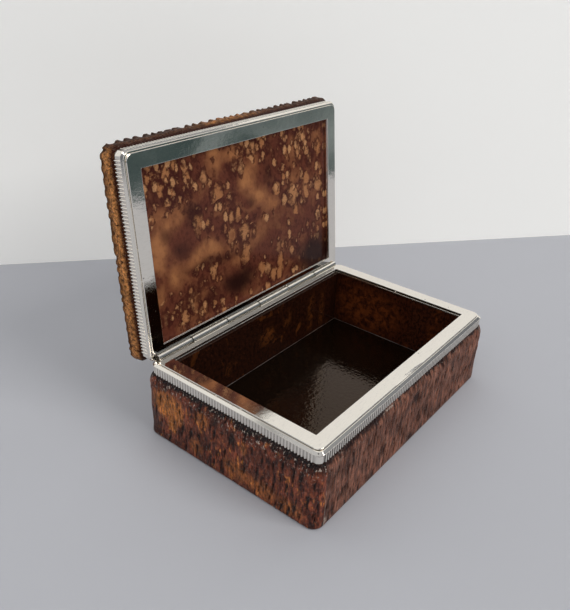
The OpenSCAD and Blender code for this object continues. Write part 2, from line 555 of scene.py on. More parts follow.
class Sketch:
    """Adds nodes to a tree, sets or links their inputs and hands out their sockets."""

    def __init__(self, tree: bpy.types.NodeTree) -> None:
        """Keeps the tree."""
        self.tree = tree

    def node(self, kind: str, inputs: Optional[dict[Any, Any]] = None, **settings: Any) -> bpy.types.Node:
        """Adds a node.

        Args:
            kind: Type of the node.
            inputs: Values or sockets for its inputs, by name or number.
            settings: Properties of the node.

        Returns:
            The new node.
        """
        made = self.tree.nodes.new(kind)
        for key, value in settings.items():
            setattr(made, key, value)
        for key, value in (inputs or {}).items():
            self.feed(made.inputs[key], value)
        return made

    def feed(self, socket: bpy.types.NodeSocket, value: Any) -> None:
        """Links an input to the socket given, or sets the plain value given on it."""
        if isinstance(value, bpy.types.NodeSocket):
            self.tree.links.new(value, socket)
        else:
            socket.default_value = value

    def math(self, operation: str, a: Any, b: Any = 0.0, clamp: bool = False) -> bpy.types.NodeSocket:
        """Adds a Math node and gives its result."""
        return self.node("ShaderNodeMath", {0: a, 1: b}, operation=operation, use_clamp=clamp).outputs[0]

    def spread(self, value: Any, low: float, high: float, start: float = 0.0,
               end: float = 1.0) -> bpy.types.NodeSocket:
        """Maps a value from one range smoothly to another."""
        made = self.node("ShaderNodeMapRange", {0: value, 1: low, 2: high, 3: start, 4: end},
                         interpolation_type="SMOOTHSTEP")
        return made.outputs[0]

    def mix(self, share: Any, first: Any, second: Any, blend: str = "MIX") -> bpy.types.NodeSocket:
        """Mixes two colours."""
        made = self.node("ShaderNodeMix", {0: share, 6: first, 7: second}, data_type="RGBA", blend_type=blend)
        return made.outputs[2]

    def stretch(self, vector: Any, scale: Sequence[float], shift: float = 0.0) -> bpy.types.NodeSocket:
        """Scales and shifts coordinates."""
        made = self.node("ShaderNodeMapping", {"Vector": vector, "Scale": scale, "Location": (shift,) * 3})
        return made.outputs[0]

    def noise(self, vector: Any, scale: float, detail: float = 4.0, rough: float = 0.55,
              distort: float = 0.0) -> bpy.types.NodeSocket:
        """Adds a Noise Texture and gives its value."""
        made = self.node("ShaderNodeTexNoise", {"Vector": vector, "Scale": scale, "Detail": detail,
                                                "Roughness": rough, "Distortion": distort})
        return made.outputs[0]

    def attribute(self, name: str, wide: bool = False) -> bpy.types.NodeSocket:
        """Reads an attribute of the mesh."""
        made = self.node("ShaderNodeAttribute", attribute_name=name)
        return made.outputs["Vector" if wide else "Fac"]

    def bump(self, height: Any, distance: float, strength: float = 1.0) -> bpy.types.NodeSocket:
        """Turns a height into a normal; the distance is in millimetres."""
        inputs = {"Height": height, "Distance": distance * MM, "Strength": strength}
        return self.node("ShaderNodeBump", inputs).outputs[0]


class Surface(Sketch):
    """Material with a Principled BSDF that the finishes feed."""

    def __init__(self, name: str, **plain: Any) -> None:
        """Starts the material.

        Args:
            name: Name of the material.
            plain: Plain values of the shader, by socket name with underscores.
        """
        self.material = bpy.data.materials.new(name)
        self.material.use_nodes = True
        super().__init__(self.material.node_tree)
        self.tree.nodes.clear()
        self.shader = self.node("ShaderNodeBsdfPrincipled")
        self.node("ShaderNodeOutputMaterial", {"Surface": self.shader.outputs[0]})
        for socket, value in plain.items():
            self.set(socket, value)

    def set(self, socket: str, value: Any) -> None:
        """Sets or links one input of the shader."""
        self.feed(self.shader.inputs[socket.replace("_", " ")], value)

    def place(self) -> bpy.types.NodeSocket:
        """Gives Object coordinates in millimetres."""
        spot = self.node("ShaderNodeTexCoord").outputs["Object"]
        return self.stretch(spot, (1 / MM,) * 3)

    def grain(self, slab: Any, stretch: float, *names: str) -> list[bpy.types.NodeSocket]:
        """Adds the shared stone grain and gives the named outputs of it."""
        made = self.node("ShaderNodeGroup", {"Slab": slab, "Stretch": stretch},
                         node_tree=SharedGroups.stone_grain())
        return [made.outputs[name] for name in names]


class SharedGroups:
    """Shader node groups that more than one finish uses, built once."""

    made: dict[str, bpy.types.NodeTree] = {}

    @classmethod
    def start(cls, name: str, inputs: dict[str, str], outputs: Sequence[str]) -> tuple[Sketch, Any, Any]:
        """Starts a group with named sockets.

        Args:
            name: Name of the group.
            inputs: Socket types of its inputs, by name.
            outputs: Names of its outputs, all plain values.

        Returns:
            The sketch of the group, its input sockets and its output sockets.
        """
        tree = bpy.data.node_groups.new(name, "ShaderNodeTree")
        for socket, kind in inputs.items():
            tree.interface.new_socket(socket, in_out="INPUT", socket_type=kind)
        for socket in outputs:
            tree.interface.new_socket(socket, in_out="OUTPUT", socket_type="NodeSocketFloat")
        cls.made[name] = tree
        sketch = Sketch(tree)
        return sketch, sketch.node("NodeGroupInput").outputs, sketch.node("NodeGroupOutput").inputs

    @classmethod
    def stone_grain(cls) -> bpy.types.NodeTree:
        """Draws streaks, patches, specks and flecks of stone.

        Returns:
            The group, built at its first use.
        """
        if "stone_grain" in cls.made:
            return cls.made["stone_grain"]
        sketch, inside, out = cls.start(
            "stone_grain", {"Slab": "NodeSocketVector", "Stretch": "NodeSocketFloat"},
            ("Streak", "Patch", "Speck", "Fleck"))
        for name, share, scale, detail in (("Streak", 1.0, 0.75, 6.0), ("Fleck", 0.5, 0.62, 4.0)):
            tall = sketch.math("DIVIDE", 1.0, sketch.math("POWER", inside["Stretch"], share))
            along = sketch.node("ShaderNodeCombineXYZ", {0: 1.0, 1: tall, 2: 1.0}).outputs[0]
            drawn = sketch.node("ShaderNodeVectorMath", {0: inside["Slab"], 1: along}, operation="MULTIPLY")
            sketch.feed(out[name], sketch.noise(drawn.outputs[0], scale, detail, 0.62, 0.05))
        sketch.feed(out["Patch"], sketch.noise(inside["Slab"], 0.11, 3.0, 0.5, 0.6))
        sketch.feed(out["Speck"], sketch.noise(inside["Slab"], 1.7, 3.0, 0.6))
        return cls.made["stone_grain"]

    @classmethod
    def metal_wear(cls) -> bpy.types.NodeTree:
        """Draws rubbing marks, pits and clouding of plated metal.

        Returns:
            The group, built at its first use.
        """
        if "metal_wear" in cls.made:
            return cls.made["metal_wear"]
        sketch, inside, out = cls.start("metal_wear", {"Place": "NodeSocketVector"}, ("Rub", "Pit", "Cloud"))
        along = sketch.stretch(inside["Place"], (0.35, 2.6, 2.6))
        sketch.feed(out["Rub"], sketch.noise(along, 1.3, 5.0, 0.65, 0.8))
        spots = sketch.node("ShaderNodeTexVoronoi", {"Vector": inside["Place"], "Scale": 0.28})
        draw = sketch.node("ShaderNodeSeparateColor", {0: spots.outputs["Color"]}).outputs[0]
        near = sketch.spread(spots.outputs["Distance"], 0.1, 0.05)
        sketch.feed(out["Pit"], sketch.math("MULTIPLY", near, sketch.spread(draw, 0.6, 0.7)))
        sketch.feed(out["Cloud"], sketch.noise(inside["Place"], 0.12, 3.0))
        return cls.made["metal_wear"]


# Finishes


@dataclass(frozen=True)
class BarkFinish:
    """Rough outer stone under lacquer, with chisel cuts, amber flecks, painted glints and a dark glossy
    shoulder, with painted shade under the band.
    """

    name: str
    deep: Colour = (0.008, 0.0035, 0.003)
    body: Colour = (0.085, 0.019, 0.011)
    warm: Colour = (0.20, 0.050, 0.022)
    amber: Colour = (0.50, 0.170, 0.036)
    # pale colour of chips, also used for the painted glints
    pale_mark: Colour = (0.50, 0.42, 0.35)
    gloss: float = 0.34
    shine: float = 0.22
    stretch: float = 4.5
    flecks: float = 0.62
    shift: float = 0.0

    def material(self) -> bpy.types.Material:
        """Builds the material.

        Returns:
            The new material.
        """
        s = Surface(self.name, Specular_IOR_Level=self.shine)
        slab = s.stretch(s.attribute("slab", wide=True), (1, 1, 1), self.shift)
        streak, patch, speck, fleck = s.grain(slab, self.stretch, "Streak", "Patch", "Speck", "Fleck")
        colour = s.mix(s.spread(streak, 0.36, 0.64), rgba(self.body), rgba(self.warm))
        placed = s.math("MULTIPLY", s.attribute("amber"), s.spread(streak, 0.3, 0.58, 0.4, 1.0))
        colour = s.mix(placed, colour, rgba(self.amber))
        local = s.math("ADD", fleck, s.math("MULTIPLY", s.math("SUBTRACT", patch, 0.5), 0.45))
        colour = s.mix(s.spread(local, self.flecks, self.flecks + 0.09, 0.0, 0.85), colour, rgba(self.amber))
        crumb = s.noise(s.stretch(slab, (1.0, 1.9 / self.stretch, 1.0), 17.0), 0.95, 3.0, 0.7)
        colour = s.mix(1.0, colour, s.spread(crumb, 0.34, 0.66, 0.40, 1.60), "MULTIPLY")
        colour = s.mix(1.0, colour, s.spread(patch, 0.36, 0.64, 0.74, 1.26), "MULTIPLY")
        dark = s.math("MAXIMUM", s.attribute("gouge"), s.spread(streak, 0.45, 0.33, 0.0, 0.85))
        dark = s.math("MAXIMUM", dark, s.spread(speck, 0.40, 0.29, 0.0, 0.75))
        colour = s.mix(dark, colour, rgba(self.deep))
        # dark shoulder: dark glossy lacquer, with painted shade right under the band
        soaked_and_shaded = s.math("MULTIPLY", s.attribute("wet"), s.spread(speck, 0.68, 0.52, 0.6, 1.0))
        colour = s.mix(soaked_and_shaded, colour, rgba(self.deep))
        # painted glints: pale specks in the base colour that stand for highlights, mixed with the pale marks
        shown = s.math("ADD", s.attribute("glint"), 0.10, clamp=True)
        glint = s.math("MULTIPLY", self.glints(s, slab), shown)
        pale = s.math("MULTIPLY", s.attribute("pale_mark"), s.spread(speck, 0.4, 0.55))
        colour = s.mix(s.math("MAXIMUM", pale, glint), colour, rgba(self.pale_mark))
        s.set("Base_Color", colour)
        s.set("Roughness", s.math("SUBTRACT", s.spread(speck, 0.3, 0.7, self.gloss - 0.06, self.gloss + 0.12),
                                  s.math("MULTIPLY", s.attribute("wet"), 0.10)))
        height = s.math("ADD", s.math("MULTIPLY", streak, 0.5), s.math("MULTIPLY", speck, 0.5))
        s.set("Normal", s.bump(height, 0.6))
        return s.material

    @staticmethod
    def glints(s: Surface, slab: Any) -> bpy.types.NodeSocket:
        """Gives a mask of small scattered glints."""
        return s.spread(s.noise(s.stretch(slab, (1.0, 0.75, 1.0), 31.0), 1.15, 2.0, 0.6), 0.58, 0.68)


@dataclass(frozen=True)
class PanelFinish:
    """Polished stone inside the lid: amber cells between dark veins, and soft clouds, in maroon."""

    name: str
    deep: Colour = (0.016, 0.006, 0.005)
    body: Colour = (0.128, 0.037, 0.021)
    cell: Colour = (0.57, 0.290, 0.130)
    cloud: Colour = (0.41, 0.168, 0.066)
    vein: Colour = (0.055, 0.014, 0.010)
    stretch: float = 2.0
    sizes: tuple[Point, ...] = ((7.2, 0.24), (4.6, 0.38), (2.7, 0.34))
    crowding: float = 1.3
    vein_share: float = 0.8
    sway: float = 0.7
    ragged: float = 0.8
    squeeze: float = 0.66

    def cells(self, s: Surface, spot: Any, size: float, share: float, weight: Any) -> tuple[Any, Any, Any]:
        """Draws one size of cells.

        Args:
            s: The surface in hand.
            spot: Coordinates in millimetres.
            size: Mean distance between cells in millimetres.
            share: Share of the cells that show.
            weight: Local density of the cells.

        Returns:
            The mask of the cells, the mask of the veins round them and a tone of each cell's own.
        """
        wave = s.node("ShaderNodeTexNoise", {"Vector": spot, "Scale": 1.0 / size, "Detail": 2.0,
                                             "Roughness": 0.5})
        moved = s.node("ShaderNodeVectorMath", {0: wave.outputs["Color"], 1: (self.sway * size,) * 3},
                       operation="MULTIPLY")
        bent = s.node("ShaderNodeVectorMath", {0: spot, 1: moved.outputs[0]}, operation="ADD")
        drawn = s.stretch(bent.outputs[0], (1.0, self.squeeze, 1.0))
        found = s.node("ShaderNodeTexVoronoi", {"Vector": drawn, "Scale": 1 / size})
        draw = s.node("ShaderNodeSeparateColor", {0: found.outputs["Color"]}).outputs
        held = s.spread(s.math("ADD", draw[0], weight), 1.0 - share, 1.06 - share)
        ragged = s.math("MULTIPLY", s.noise(spot, 2.6 / size, 4.0, 0.65), self.ragged)
        reach = s.math("ADD", found.outputs["Distance"], ragged)
        depth = s.math("SUBTRACT", s.spread(draw[1], 0.0, 1.0, 0.62, 1.02), reach)
        inside = s.math("MULTIPLY", s.spread(depth, -0.02, 0.30), held)
        around = s.math("MULTIPLY", s.spread(depth, -0.36, -0.05), held)
        return inside, s.math("SUBTRACT", around, inside, clamp=True), draw[2]

    def material(self) -> bpy.types.Material:
        """Builds the material.

        Returns:
            The new material.
        """
        s = Surface(self.name, Specular_IOR_Level=0.10)
        slab = s.attribute("slab", wide=True)
        patch, speck, fleck = s.grain(slab, self.stretch, "Patch", "Speck", "Fleck")
        colour = s.mix(s.spread(fleck, 0.32, 0.58, 0.35, 1.0), rgba(self.vein), rgba(self.body))
        colour = s.mix(s.spread(patch, 0.46, 0.72, 0.0, 0.28), colour, rgba(self.cloud))
        cloud = s.attribute("cloud")
        swell = s.math("MULTIPLY", s.spread(patch, 0.34, 0.58, 0.70, 1.0),
                       s.spread(fleck, 0.30, 0.56, 0.75, 1.0))
        colour = s.mix(s.math("MULTIPLY", cloud, swell), colour, rgba(self.cloud))
        crowd = s.math("MULTIPLY", s.attribute("cells"), self.crowding)
        density = s.math("SUBTRACT", crowd, s.math("MULTIPLY", cloud, 0.25))
        colour = s.mix(s.spread(density, 0.28, 0.42, 0.0, 0.5), colour, rgba(self.vein))
        for size, share in self.sizes:
            inside, vein, tone = self.cells(s, slab, size, share, density)
            colour = s.mix(s.math("MULTIPLY", vein, self.vein_share), colour, rgba(self.vein))
            tint = s.mix(tone, rgba(self.cloud), rgba(self.cell))
            colour = s.mix(s.math("MULTIPLY", inside, s.spread(speck, 0.28, 0.60, 0.5, 0.95)), colour, tint)
        colour = s.mix(s.math("MULTIPLY", s.attribute("gouge"), 0.9), colour, rgba(self.deep))
        s.set("Base_Color", colour)
        s.set("Roughness", s.spread(speck, 0.3, 0.8, 0.10, 0.20))
        s.set("Normal", s.bump(s.noise(slab, 0.35, 3.0), 0.10, 0.5))
        return s.material


@dataclass(frozen=True)
class LacquerFinish:
    """Thick brown lacquer on the stone inside the compartment."""

    name: str
    deep: Colour = (0.006, 0.0022, 0.0015)
    body: Colour = (0.030, 0.0085, 0.004)
    amber: Colour = (0.15, 0.044, 0.010)
    amber_from: float = 0.60
    tint: Colour = (1.0, 0.66, 0.40)
    shine: float = 0.3
    sharp: float = 0.05
    dulled: float = 0.12
    ripple: float = 0.35
    stretch: float = 1.6

    def material(self) -> bpy.types.Material:
        """Builds the material.

        Returns:
            The new material.
        """
        s = Surface(self.name, Specular_IOR_Level=self.shine, Specular_Tint=rgba(self.tint))
        slab = s.attribute("slab", wide=True)
        streak, patch = s.grain(slab, self.stretch, "Streak", "Patch")
        colour = s.mix(s.spread(streak, 0.3, 0.68), rgba(self.deep), rgba(self.body))
        pooled = s.spread(patch, self.amber_from, self.amber_from + 0.14, 0.0, 0.5)
        colour = s.mix(pooled, colour, rgba(self.amber))
        worn = s.noise(slab, 0.26, 5.0, 0.65, 0.5)
        placed = s.math("MULTIPLY", s.attribute("amber"), s.spread(worn, 0.38, 0.64))
        colour = s.mix(placed, colour, rgba(self.amber))
        s.set("Base_Color", colour)
        crumb = s.noise(slab, 1.1, 4.0, 0.7)
        s.set("Roughness", s.spread(crumb, 0.50, 0.62, self.sharp, self.sharp + self.dulled))
        s.set("Normal", s.bump(s.noise(slab, 0.55, 1.5, 0.5), 0.10, self.ripple))
        return s.material


@dataclass(frozen=True)
class GlueFinish:
    """Dried glue squeezed out along a joint, mostly stained."""

    name: str
    pale: Colour = (0.075, 0.050, 0.038)
    stained: Colour = (0.020, 0.008, 0.006)

    def material(self) -> bpy.types.Material:
        """Builds the material.

        Returns:
            The new material.
        """
        s = Surface(self.name, Roughness=0.4)
        spot = s.place()
        stain = s.spread(s.noise(spot, 0.07, 5.0, 0.7), 0.36, 0.56)
        s.set("Base_Color", s.mix(stain, rgba(self.pale), rgba(self.stained)))
        s.set("Normal", s.bump(s.noise(spot, 1.1, 3.0), 0.2))
        return s.material


@dataclass(frozen=True)
class PlatedFinish:
    """Bright plated metal with light rubbing, clouding, small pits and dark grooves: grime with painted
    shade.
    """

    name: str
    bright: Colour = (0.93, 0.880, 0.80)
    dull: Colour = (0.72, 0.68, 0.62)
    pit: Colour = (0.10, 0.09, 0.08)
    # dark colour of the grooves between the reeds: grime with painted shade
    stain: Colour = (0.035, 0.035, 0.037)
    polish: float = 0.05
    worn: float = 0.16

    def material(self) -> bpy.types.Material:
        """Builds the material.

        Returns:
            The new material.
        """
        s = Surface(self.name, Metallic=1.0)
        wear = s.node("ShaderNodeGroup", node_tree=SharedGroups.metal_wear())
        s.feed(wear.inputs["Place"], s.place())
        rub, pit, cloud = (wear.outputs[k] for k in ("Rub", "Pit", "Cloud"))
        colour = s.mix(s.spread(rub, 0.5, 0.8), rgba(self.bright), rgba(self.dull))
        # grooves drawn dark: grime with painted shade between the reeds
        colour = s.mix(s.math("MULTIPLY", s.attribute("groove"), 0.9), colour, rgba(self.stain))
        s.set("Base_Color", s.mix(pit, colour, rgba(self.pit)))
        gloss = s.spread(s.math("MULTIPLY", rub, cloud), 0.18, 0.5, self.polish, self.worn)
        dirt = s.math("MAXIMUM", pit, s.attribute("groove"))
        s.set("Roughness", s.math("ADD", gloss, s.math("MULTIPLY", dirt, 0.3)))
        s.set("Normal", s.bump(s.math("ADD", cloud, s.math("MULTIPLY", rub, 0.12)), 0.06))
        return s.material


@dataclass(frozen=True)
class StageFinish:
    """Plain matt stage, seen through from behind where it is a backdrop."""

    name: str
    colour: Colour
    see_through: bool = False
    glow: float = 0.0
    mottle: Optional[Colour] = None

    def material(self) -> bpy.types.Material:
        """Builds the material.

        Returns:
            The new material.
        """
        s = Surface(self.name, Roughness=0.9, Specular_IOR_Level=0.1, Base_Color=rgba(self.colour),
                    Emission_Color=rgba(self.colour), Emission_Strength=self.glow)
        if self.mottle:
            cloud = s.noise(s.place(), 0.011, 3.0, 0.5, 0.6)
            s.set("Base_Color", s.mix(s.spread(cloud, 0.4, 0.62), rgba(self.colour), rgba(self.mottle)))
        if self.see_through:
            back = s.node("ShaderNodeNewGeometry").outputs["Backfacing"]
            clear = s.node("ShaderNodeBsdfTransparent").outputs[0]
            both = s.node("ShaderNodeMixShader", {0: back, 1: s.shader.outputs[0], 2: clear})
            s.feed(s.tree.nodes["Material Output"].inputs["Surface"], both.outputs[0])
        return s.material


# Stone


@dataclass
class StoneWalls:
    """Four mitred wall slabs with worked outer faces and lacquered inner faces."""

    sizes: BoxSizes
    step: float = 0.42
    inner_step: float = 2.0
    relief: float = 0.9
    foot_r: float = 1.1
    foot_steps: int = 5
    mask_seed: int = 40
    height_seed: int = 80
    pattern_shift: float = 300.0
    front_cuts: Cuts = Cuts(3.4, 9.0, 1.15, 6.8, 0.75)
    side_cuts: Cuts = Cuts(4.9, 9.0, 1.4, 6.8, 0.75)
    fine_cuts: Cuts = Cuts(2.3, 5.6, 0.65, 3.8, 0.5)
    left_amber: tuple[Patch, ...] = (
        Patch(-32.5, 19.5, 8.5, 6.5), Patch(-29.0, 11.5, 3.0, 5.0), Patch(-25.0, 17.5, 3.0, 6.0, 0.9),
        Patch(-12.5, 22.0, 4.0, 4.0, 0.6), Patch(10.0, 20.0, 1.6, 3.4, 0.6), Patch(5.5, 7.0, 8.0, 5.0, 0.45),
        Patch(-15.5, 7.0, 4.0, 4.5, 0.45), Patch(18.0, 5.5, 9.0, 5.0, 0.4), Patch(32.0, 5.0, 7.0, 4.0, 0.4))
    left_dark: tuple[Patch, ...] = (
        Patch(-40.0, 7.0, 5.0, 7.5, 0.7), Patch(-11.0, 12.0, 4.0, 4.0, 0.45),
        Patch(-5.5, 25.0, 3.0, 3.5, 0.75), Patch(3.5, 21.0, 1.6, 5.0, 0.85),
        Patch(-33.0, 2.0, 14.0, 2.5, 0.5))
    front_dark: tuple[Patch, ...] = (Patch(2.0, 21.5, 2.6, 4.5, 0.9), Patch(1.5, 2.5, 3.0, 1.8, 0.8),
                                     Patch(-63.0, 22.0, 3.0, 6.0, 0.6))
    front_chips: tuple[Patch, ...] = (Patch(-20.5, 29.2, 5.0, 0.45), Patch(-62.5, 3.0, 1.2, 1.6, 0.9))
    back_amber: tuple[Patch, ...] = (
        Patch(53.0, 17.0, 6.0, 8.0, 0.9), Patch(-1.0, 20.0, 6.0, 5.0, 0.7), Patch(-16.0, 23.0, 3.5, 5.0, 0.4),
        Patch(-36.0, 18.0, 3.0, 11.0, 0.55), Patch(-46.0, 17.0, 2.5, 12.0, 0.45),
        Patch(27.0, 14.0, 2.5, 4.0, 0.35))
    right_amber: tuple[Patch, ...] = (Patch(16.0, 18.0, 22.0, 14.0, 0.6), Patch(-24.0, 20.0, 7.0, 6.0, 0.3))
    bark: dict[Side, BarkFinish] = field(default_factory=lambda: {
        Side.FRONT: BarkFinish("bark_front", body=(0.115, 0.044, 0.029), warm=(0.21, 0.088, 0.056),
                               amber=(0.27, 0.135, 0.080), deep=(0.018, 0.007, 0.006), gloss=0.45, shine=0.14,
                               stretch=12.0, flecks=0.66),
        Side.RIGHT: BarkFinish("bark_right", shift=140.0),
        Side.BACK: BarkFinish("bark_back", shift=270.0),
        Side.LEFT: BarkFinish("bark_left", shift=410.0, flecks=0.60)})

    def turn(self, side: Side, points: Any) -> np.ndarray:
        """Turns plan points of the front wall's place to the place of another wall.

        Args:
            side: The other wall.
            points: Points in plan, one per row.

        Returns:
            The turned points.
        """
        angle = side.number * math.pi / 2
        spin = np.array([[math.cos(angle), math.sin(angle)], [-math.sin(angle), math.cos(angle)]])
        return np.asarray(points, float) @ spin

    def path(self, side: Side) -> tuple[np.ndarray, np.ndarray, np.ndarray]:
        """Gives the stations of a wall's outer face, anticlockwise seen from above.

        Args:
            side: The wall.

        Returns:
            Points, outward normals and the place along the slab, from its middle.
        """
        z = self.sizes
        long_side = side in (Side.FRONT, Side.BACK)
        half, reach = (z.half_w, z.half_d) if long_side else (z.half_d, z.half_w)
        run = half - z.corner_r - (z.cement if long_side else 0.0)
        points = [(u, -reach) for u in np.linspace(-run, run, round(2 * run / self.step) + 1)]
        normals = [(0.0, -1.0)] * len(points)
        if not long_side:
            for a in np.radians(np.linspace(0, 90, round(z.corner_r * math.pi / 2 / self.step) + 1))[1:]:
                points.append((run + z.corner_r * math.sin(a), -reach + z.corner_r * (1 - math.cos(a))))
                normals.append((math.sin(a), -math.cos(a)))
                points.insert(0, (-points[-1][0], points[-1][1]))
                normals.insert(0, (-normals[-1][0], normals[-1][1]))
        along = np.concatenate([[0.0], np.cumsum(np.linalg.norm(np.diff(points, axis=0), axis=1))])
        return self.turn(side, points), self.turn(side, normals), along - along[-1] / 2

    def profile(self) -> tuple[np.ndarray, np.ndarray]:
        """Draws the outer face from its rounded foot to the seat of the band.

        Returns:
            The heights of its rows and their insets.
        """
        z = self.sizes
        foot = np.radians(np.linspace(0, 90, self.foot_steps))
        low = self.foot_r * (1 - np.cos(foot))
        heights = np.concatenate([low, np.linspace(self.foot_r, z.seat_z, round(z.seat_z / self.step))[1:]])
        inset = np.zeros_like(heights)
        inset[:self.foot_steps] = self.foot_r * (1 - np.sin(foot))
        slope = np.clip((heights - z.seat_z + z.shoulder_h) / z.shoulder_h, 0, 1)
        return heights, inset + z.band_inset * slope ** 1.3

    def masks(self, side: Side, u: np.ndarray, v: np.ndarray) -> dict[str, np.ndarray]:
        """Draws the colour masks of a wall's outer face.

        Args:
            side: The wall.
            u: Place along the slab, in millimetres.
            v: Height, in millimetres.

        Returns:
            The masks by name, each from 0 to 1.
        """
        z = self.sizes
        grain = Grain(self.mask_seed + side.number)
        front = side is Side.FRONT
        gouge = grain.gouges(u, v + 2.0, self.front_cuts if front else self.side_cuts)
        gouge = np.maximum(gouge, 0.85 * grain.gouges(u + 50, v, self.fine_cuts))
        gouge *= fade(grain.cloud(u / 1.2, v / 3.2, 3), -0.5, 0.0)
        wander = 1.2 * grain.cloud(u / 6, v / 6)
        bent = (u + wander, v + wander)
        fray = grain.cloud(u / 1.6 + 70, v / 1.6)
        amber, pale_mark = np.zeros_like(u), np.zeros_like(u)
        if side is Side.LEFT:
            amber = patches(self.left_amber, *bent)
            gouge = np.maximum(gouge, patches(self.left_dark, *bent))
        if front:
            gouge = np.maximum(gouge, patches(self.front_dark, *bent))
            # a pale line along both ends of the front wall, next to the corners, joins the pale marks
            end = np.max(np.abs(u)) - np.abs(u)
            seam = fade(-end, -0.55, -0.15) * fade(grain.cloud(u, v / 5), -0.15, 0.1)
            pale_mark = np.maximum(patches(self.front_chips, u, v), seam)
        # dark shoulder under the band: dark glossy lacquer, with painted shade right under the band; thin on
        # the front
        reach = 0.8 + 1.4 * fade(-u, 18.0, 30.0) if front else 1.7 + 0.9 * fade(u, -25.0, 5.0)
        wet = fade(v + 0.6 * wander + 1.6 * fray, z.seat_z - 1.4 * reach, z.seat_z - 0.4 * reach)
        # painted glints: pale specks that stand for highlights, thickest just under the band, with a few
        # strewn over the rest
        glint = fade(v + 1.5 * wander, z.seat_z - 3.4 * reach, z.seat_z - reach) * (0.12 if front else 0.8)
        strewn = 0.12 * fade(grain.cloud(u / 5, v / 5), 0.1, 0.4)
        glint = np.maximum(glint * fade(z.seat_z - v, 0.4, 1.2), strewn)
        return {"gouge": gouge, "wet": wet, "glint": glint, "amber": amber, "pale_mark": pale_mark}

    def heights(self, side: Side, u: np.ndarray, v: np.ndarray, masks: dict[str, np.ndarray]) -> np.ndarray:
        """Works out how far the outer face stands out.

        Args:
            side: The wall.
            u: Place along the slab, in millimetres.
            v: Height, in millimetres.
            masks: Colour masks of the face.

        Returns:
            The height at each point, in millimetres.
        """
        grain = Grain(self.height_seed + side.number)
        streaks = 0.6 * grain.cloud(u / 2.4, v / 11.0, 4) + 0.3 * grain.smooth(u / 0.9, v / 2.6)
        lumps = 0.4 * grain.cloud(u / 11.0, v / 11.0, 3)
        wet = masks["wet"] * 0.5 * grain.smooth(u / 1.1, v / 1.1)
        stand = self.relief * (0.5 * streaks + 0.4 * lumps + 0.4 * wet - 0.6 * masks["gouge"]) - 0.05
        ends = fade(np.max(np.abs(u)) - np.abs(u), 0.0, 0.8)
        return stand * ends * fade(self.sizes.seat_z - v, 0.0, 0.7) * fade(v, 0.2, 4.0)

    def build(self) -> None:
        """Builds and hands over the four walls."""
        inner = LacquerFinish("lacquer_walls").material()
        # the right inner wall gets a lighter copy of the lacquer, painted as lit
        lit = LacquerFinish("lacquer_right_painted_lit", deep=(0.010, 0.003, 0.0018), body=(0.062, 0.015, 0.006),
                            amber=(0.21, 0.050, 0.012)).material()
        for side in Side:
            self.wall(side, [self.bark[side].material(), lit if side is Side.RIGHT else inner])

    def wall(self, side: Side, materials: list[bpy.types.Material]) -> None:
        """Builds one wall.

        Args:
            side: The wall.
            materials: Its outer and inner materials.
        """
        z = self.sizes
        points, normals, along = self.path(side)
        heights, insets = self.profile()
        u, v = np.meshgrid(along, heights)
        masks = self.masks(side, u, v)
        out = self.heights(side, u, v, masks) - insets[:, None]
        skin = np.empty((*u.shape, 3))
        skin[..., :2] = points[None] + normals[None] * out[..., None]
        skin[..., 2] = v
        draft = MeshDraft()
        slab = grid_points(u, v, 0.0)
        rows = draft.add(skin.reshape(-1, 3), slab=slab, **{k: m.ravel() for k, m in masks.items()})
        rows = rows.reshape(u.shape)
        draft.grid(rows)
        tops = []
        for height in (z.seat_z, z.neck_z):
            neck = np.column_stack([points - normals * z.neck_inset, np.full(len(points), height)])
            tops.append(draft.add(neck, slab=slab[-len(points):]))
        draft.strip(rows[-1], tops[0])
        draft.strip(tops[0], tops[1])
        inner = self.inner_face(side, draft)
        draft.face((*rows[0][::-1], *inner[0]))
        draft.face((*tops[1], *inner[-1][::-1]), 1)
        draft.face((*rows[:, 0], tops[0][0], tops[1][0], *inner[::-1, 0]))
        draft.face((*inner[:, -1], tops[1][-1], tops[0][-1], *rows[::-1, -1]))
        piece = draft.build(side.value, materials, sharp_deg=50.0)
        hand_over(piece, Body.BASE, Slot.WALL, side.value)

    def inner_face(self, side: Side, draft: MeshDraft) -> np.ndarray:
        """Adds the lacquered inner face of a wall.

        Args:
            side: The wall.
            draft: The mesh in hand.

        Returns:
            The point indices of its rows, from the foot up.
        """
        z = self.sizes
        long_side = side in (Side.FRONT, Side.BACK)
        half, reach = (z.cavity[0] - z.cement, z.cavity[1]) if long_side else (z.cavity[1], z.cavity[0])
        u, v = np.meshgrid(np.linspace(-half, half, round(2 * half / self.inner_step)),
                           np.linspace(0.0, z.neck_z, round(z.neck_z / self.inner_step)))
        plan = self.turn(side, np.stack([u, np.full_like(u, -reach)], -1).reshape(-1, 2))
        spots = {Side.BACK: self.back_amber, Side.RIGHT: self.right_amber}.get(side, ())
        slab = grid_points(u + self.pattern_shift * side.number, v, 0.0)
        rows = draft.add(np.column_stack([plan, v.ravel()]), slab=slab, amber=patches(spots, u, v).ravel())
        rows = rows.reshape(u.shape)
        draft.grid(rows[::-1], 1)
        return rows


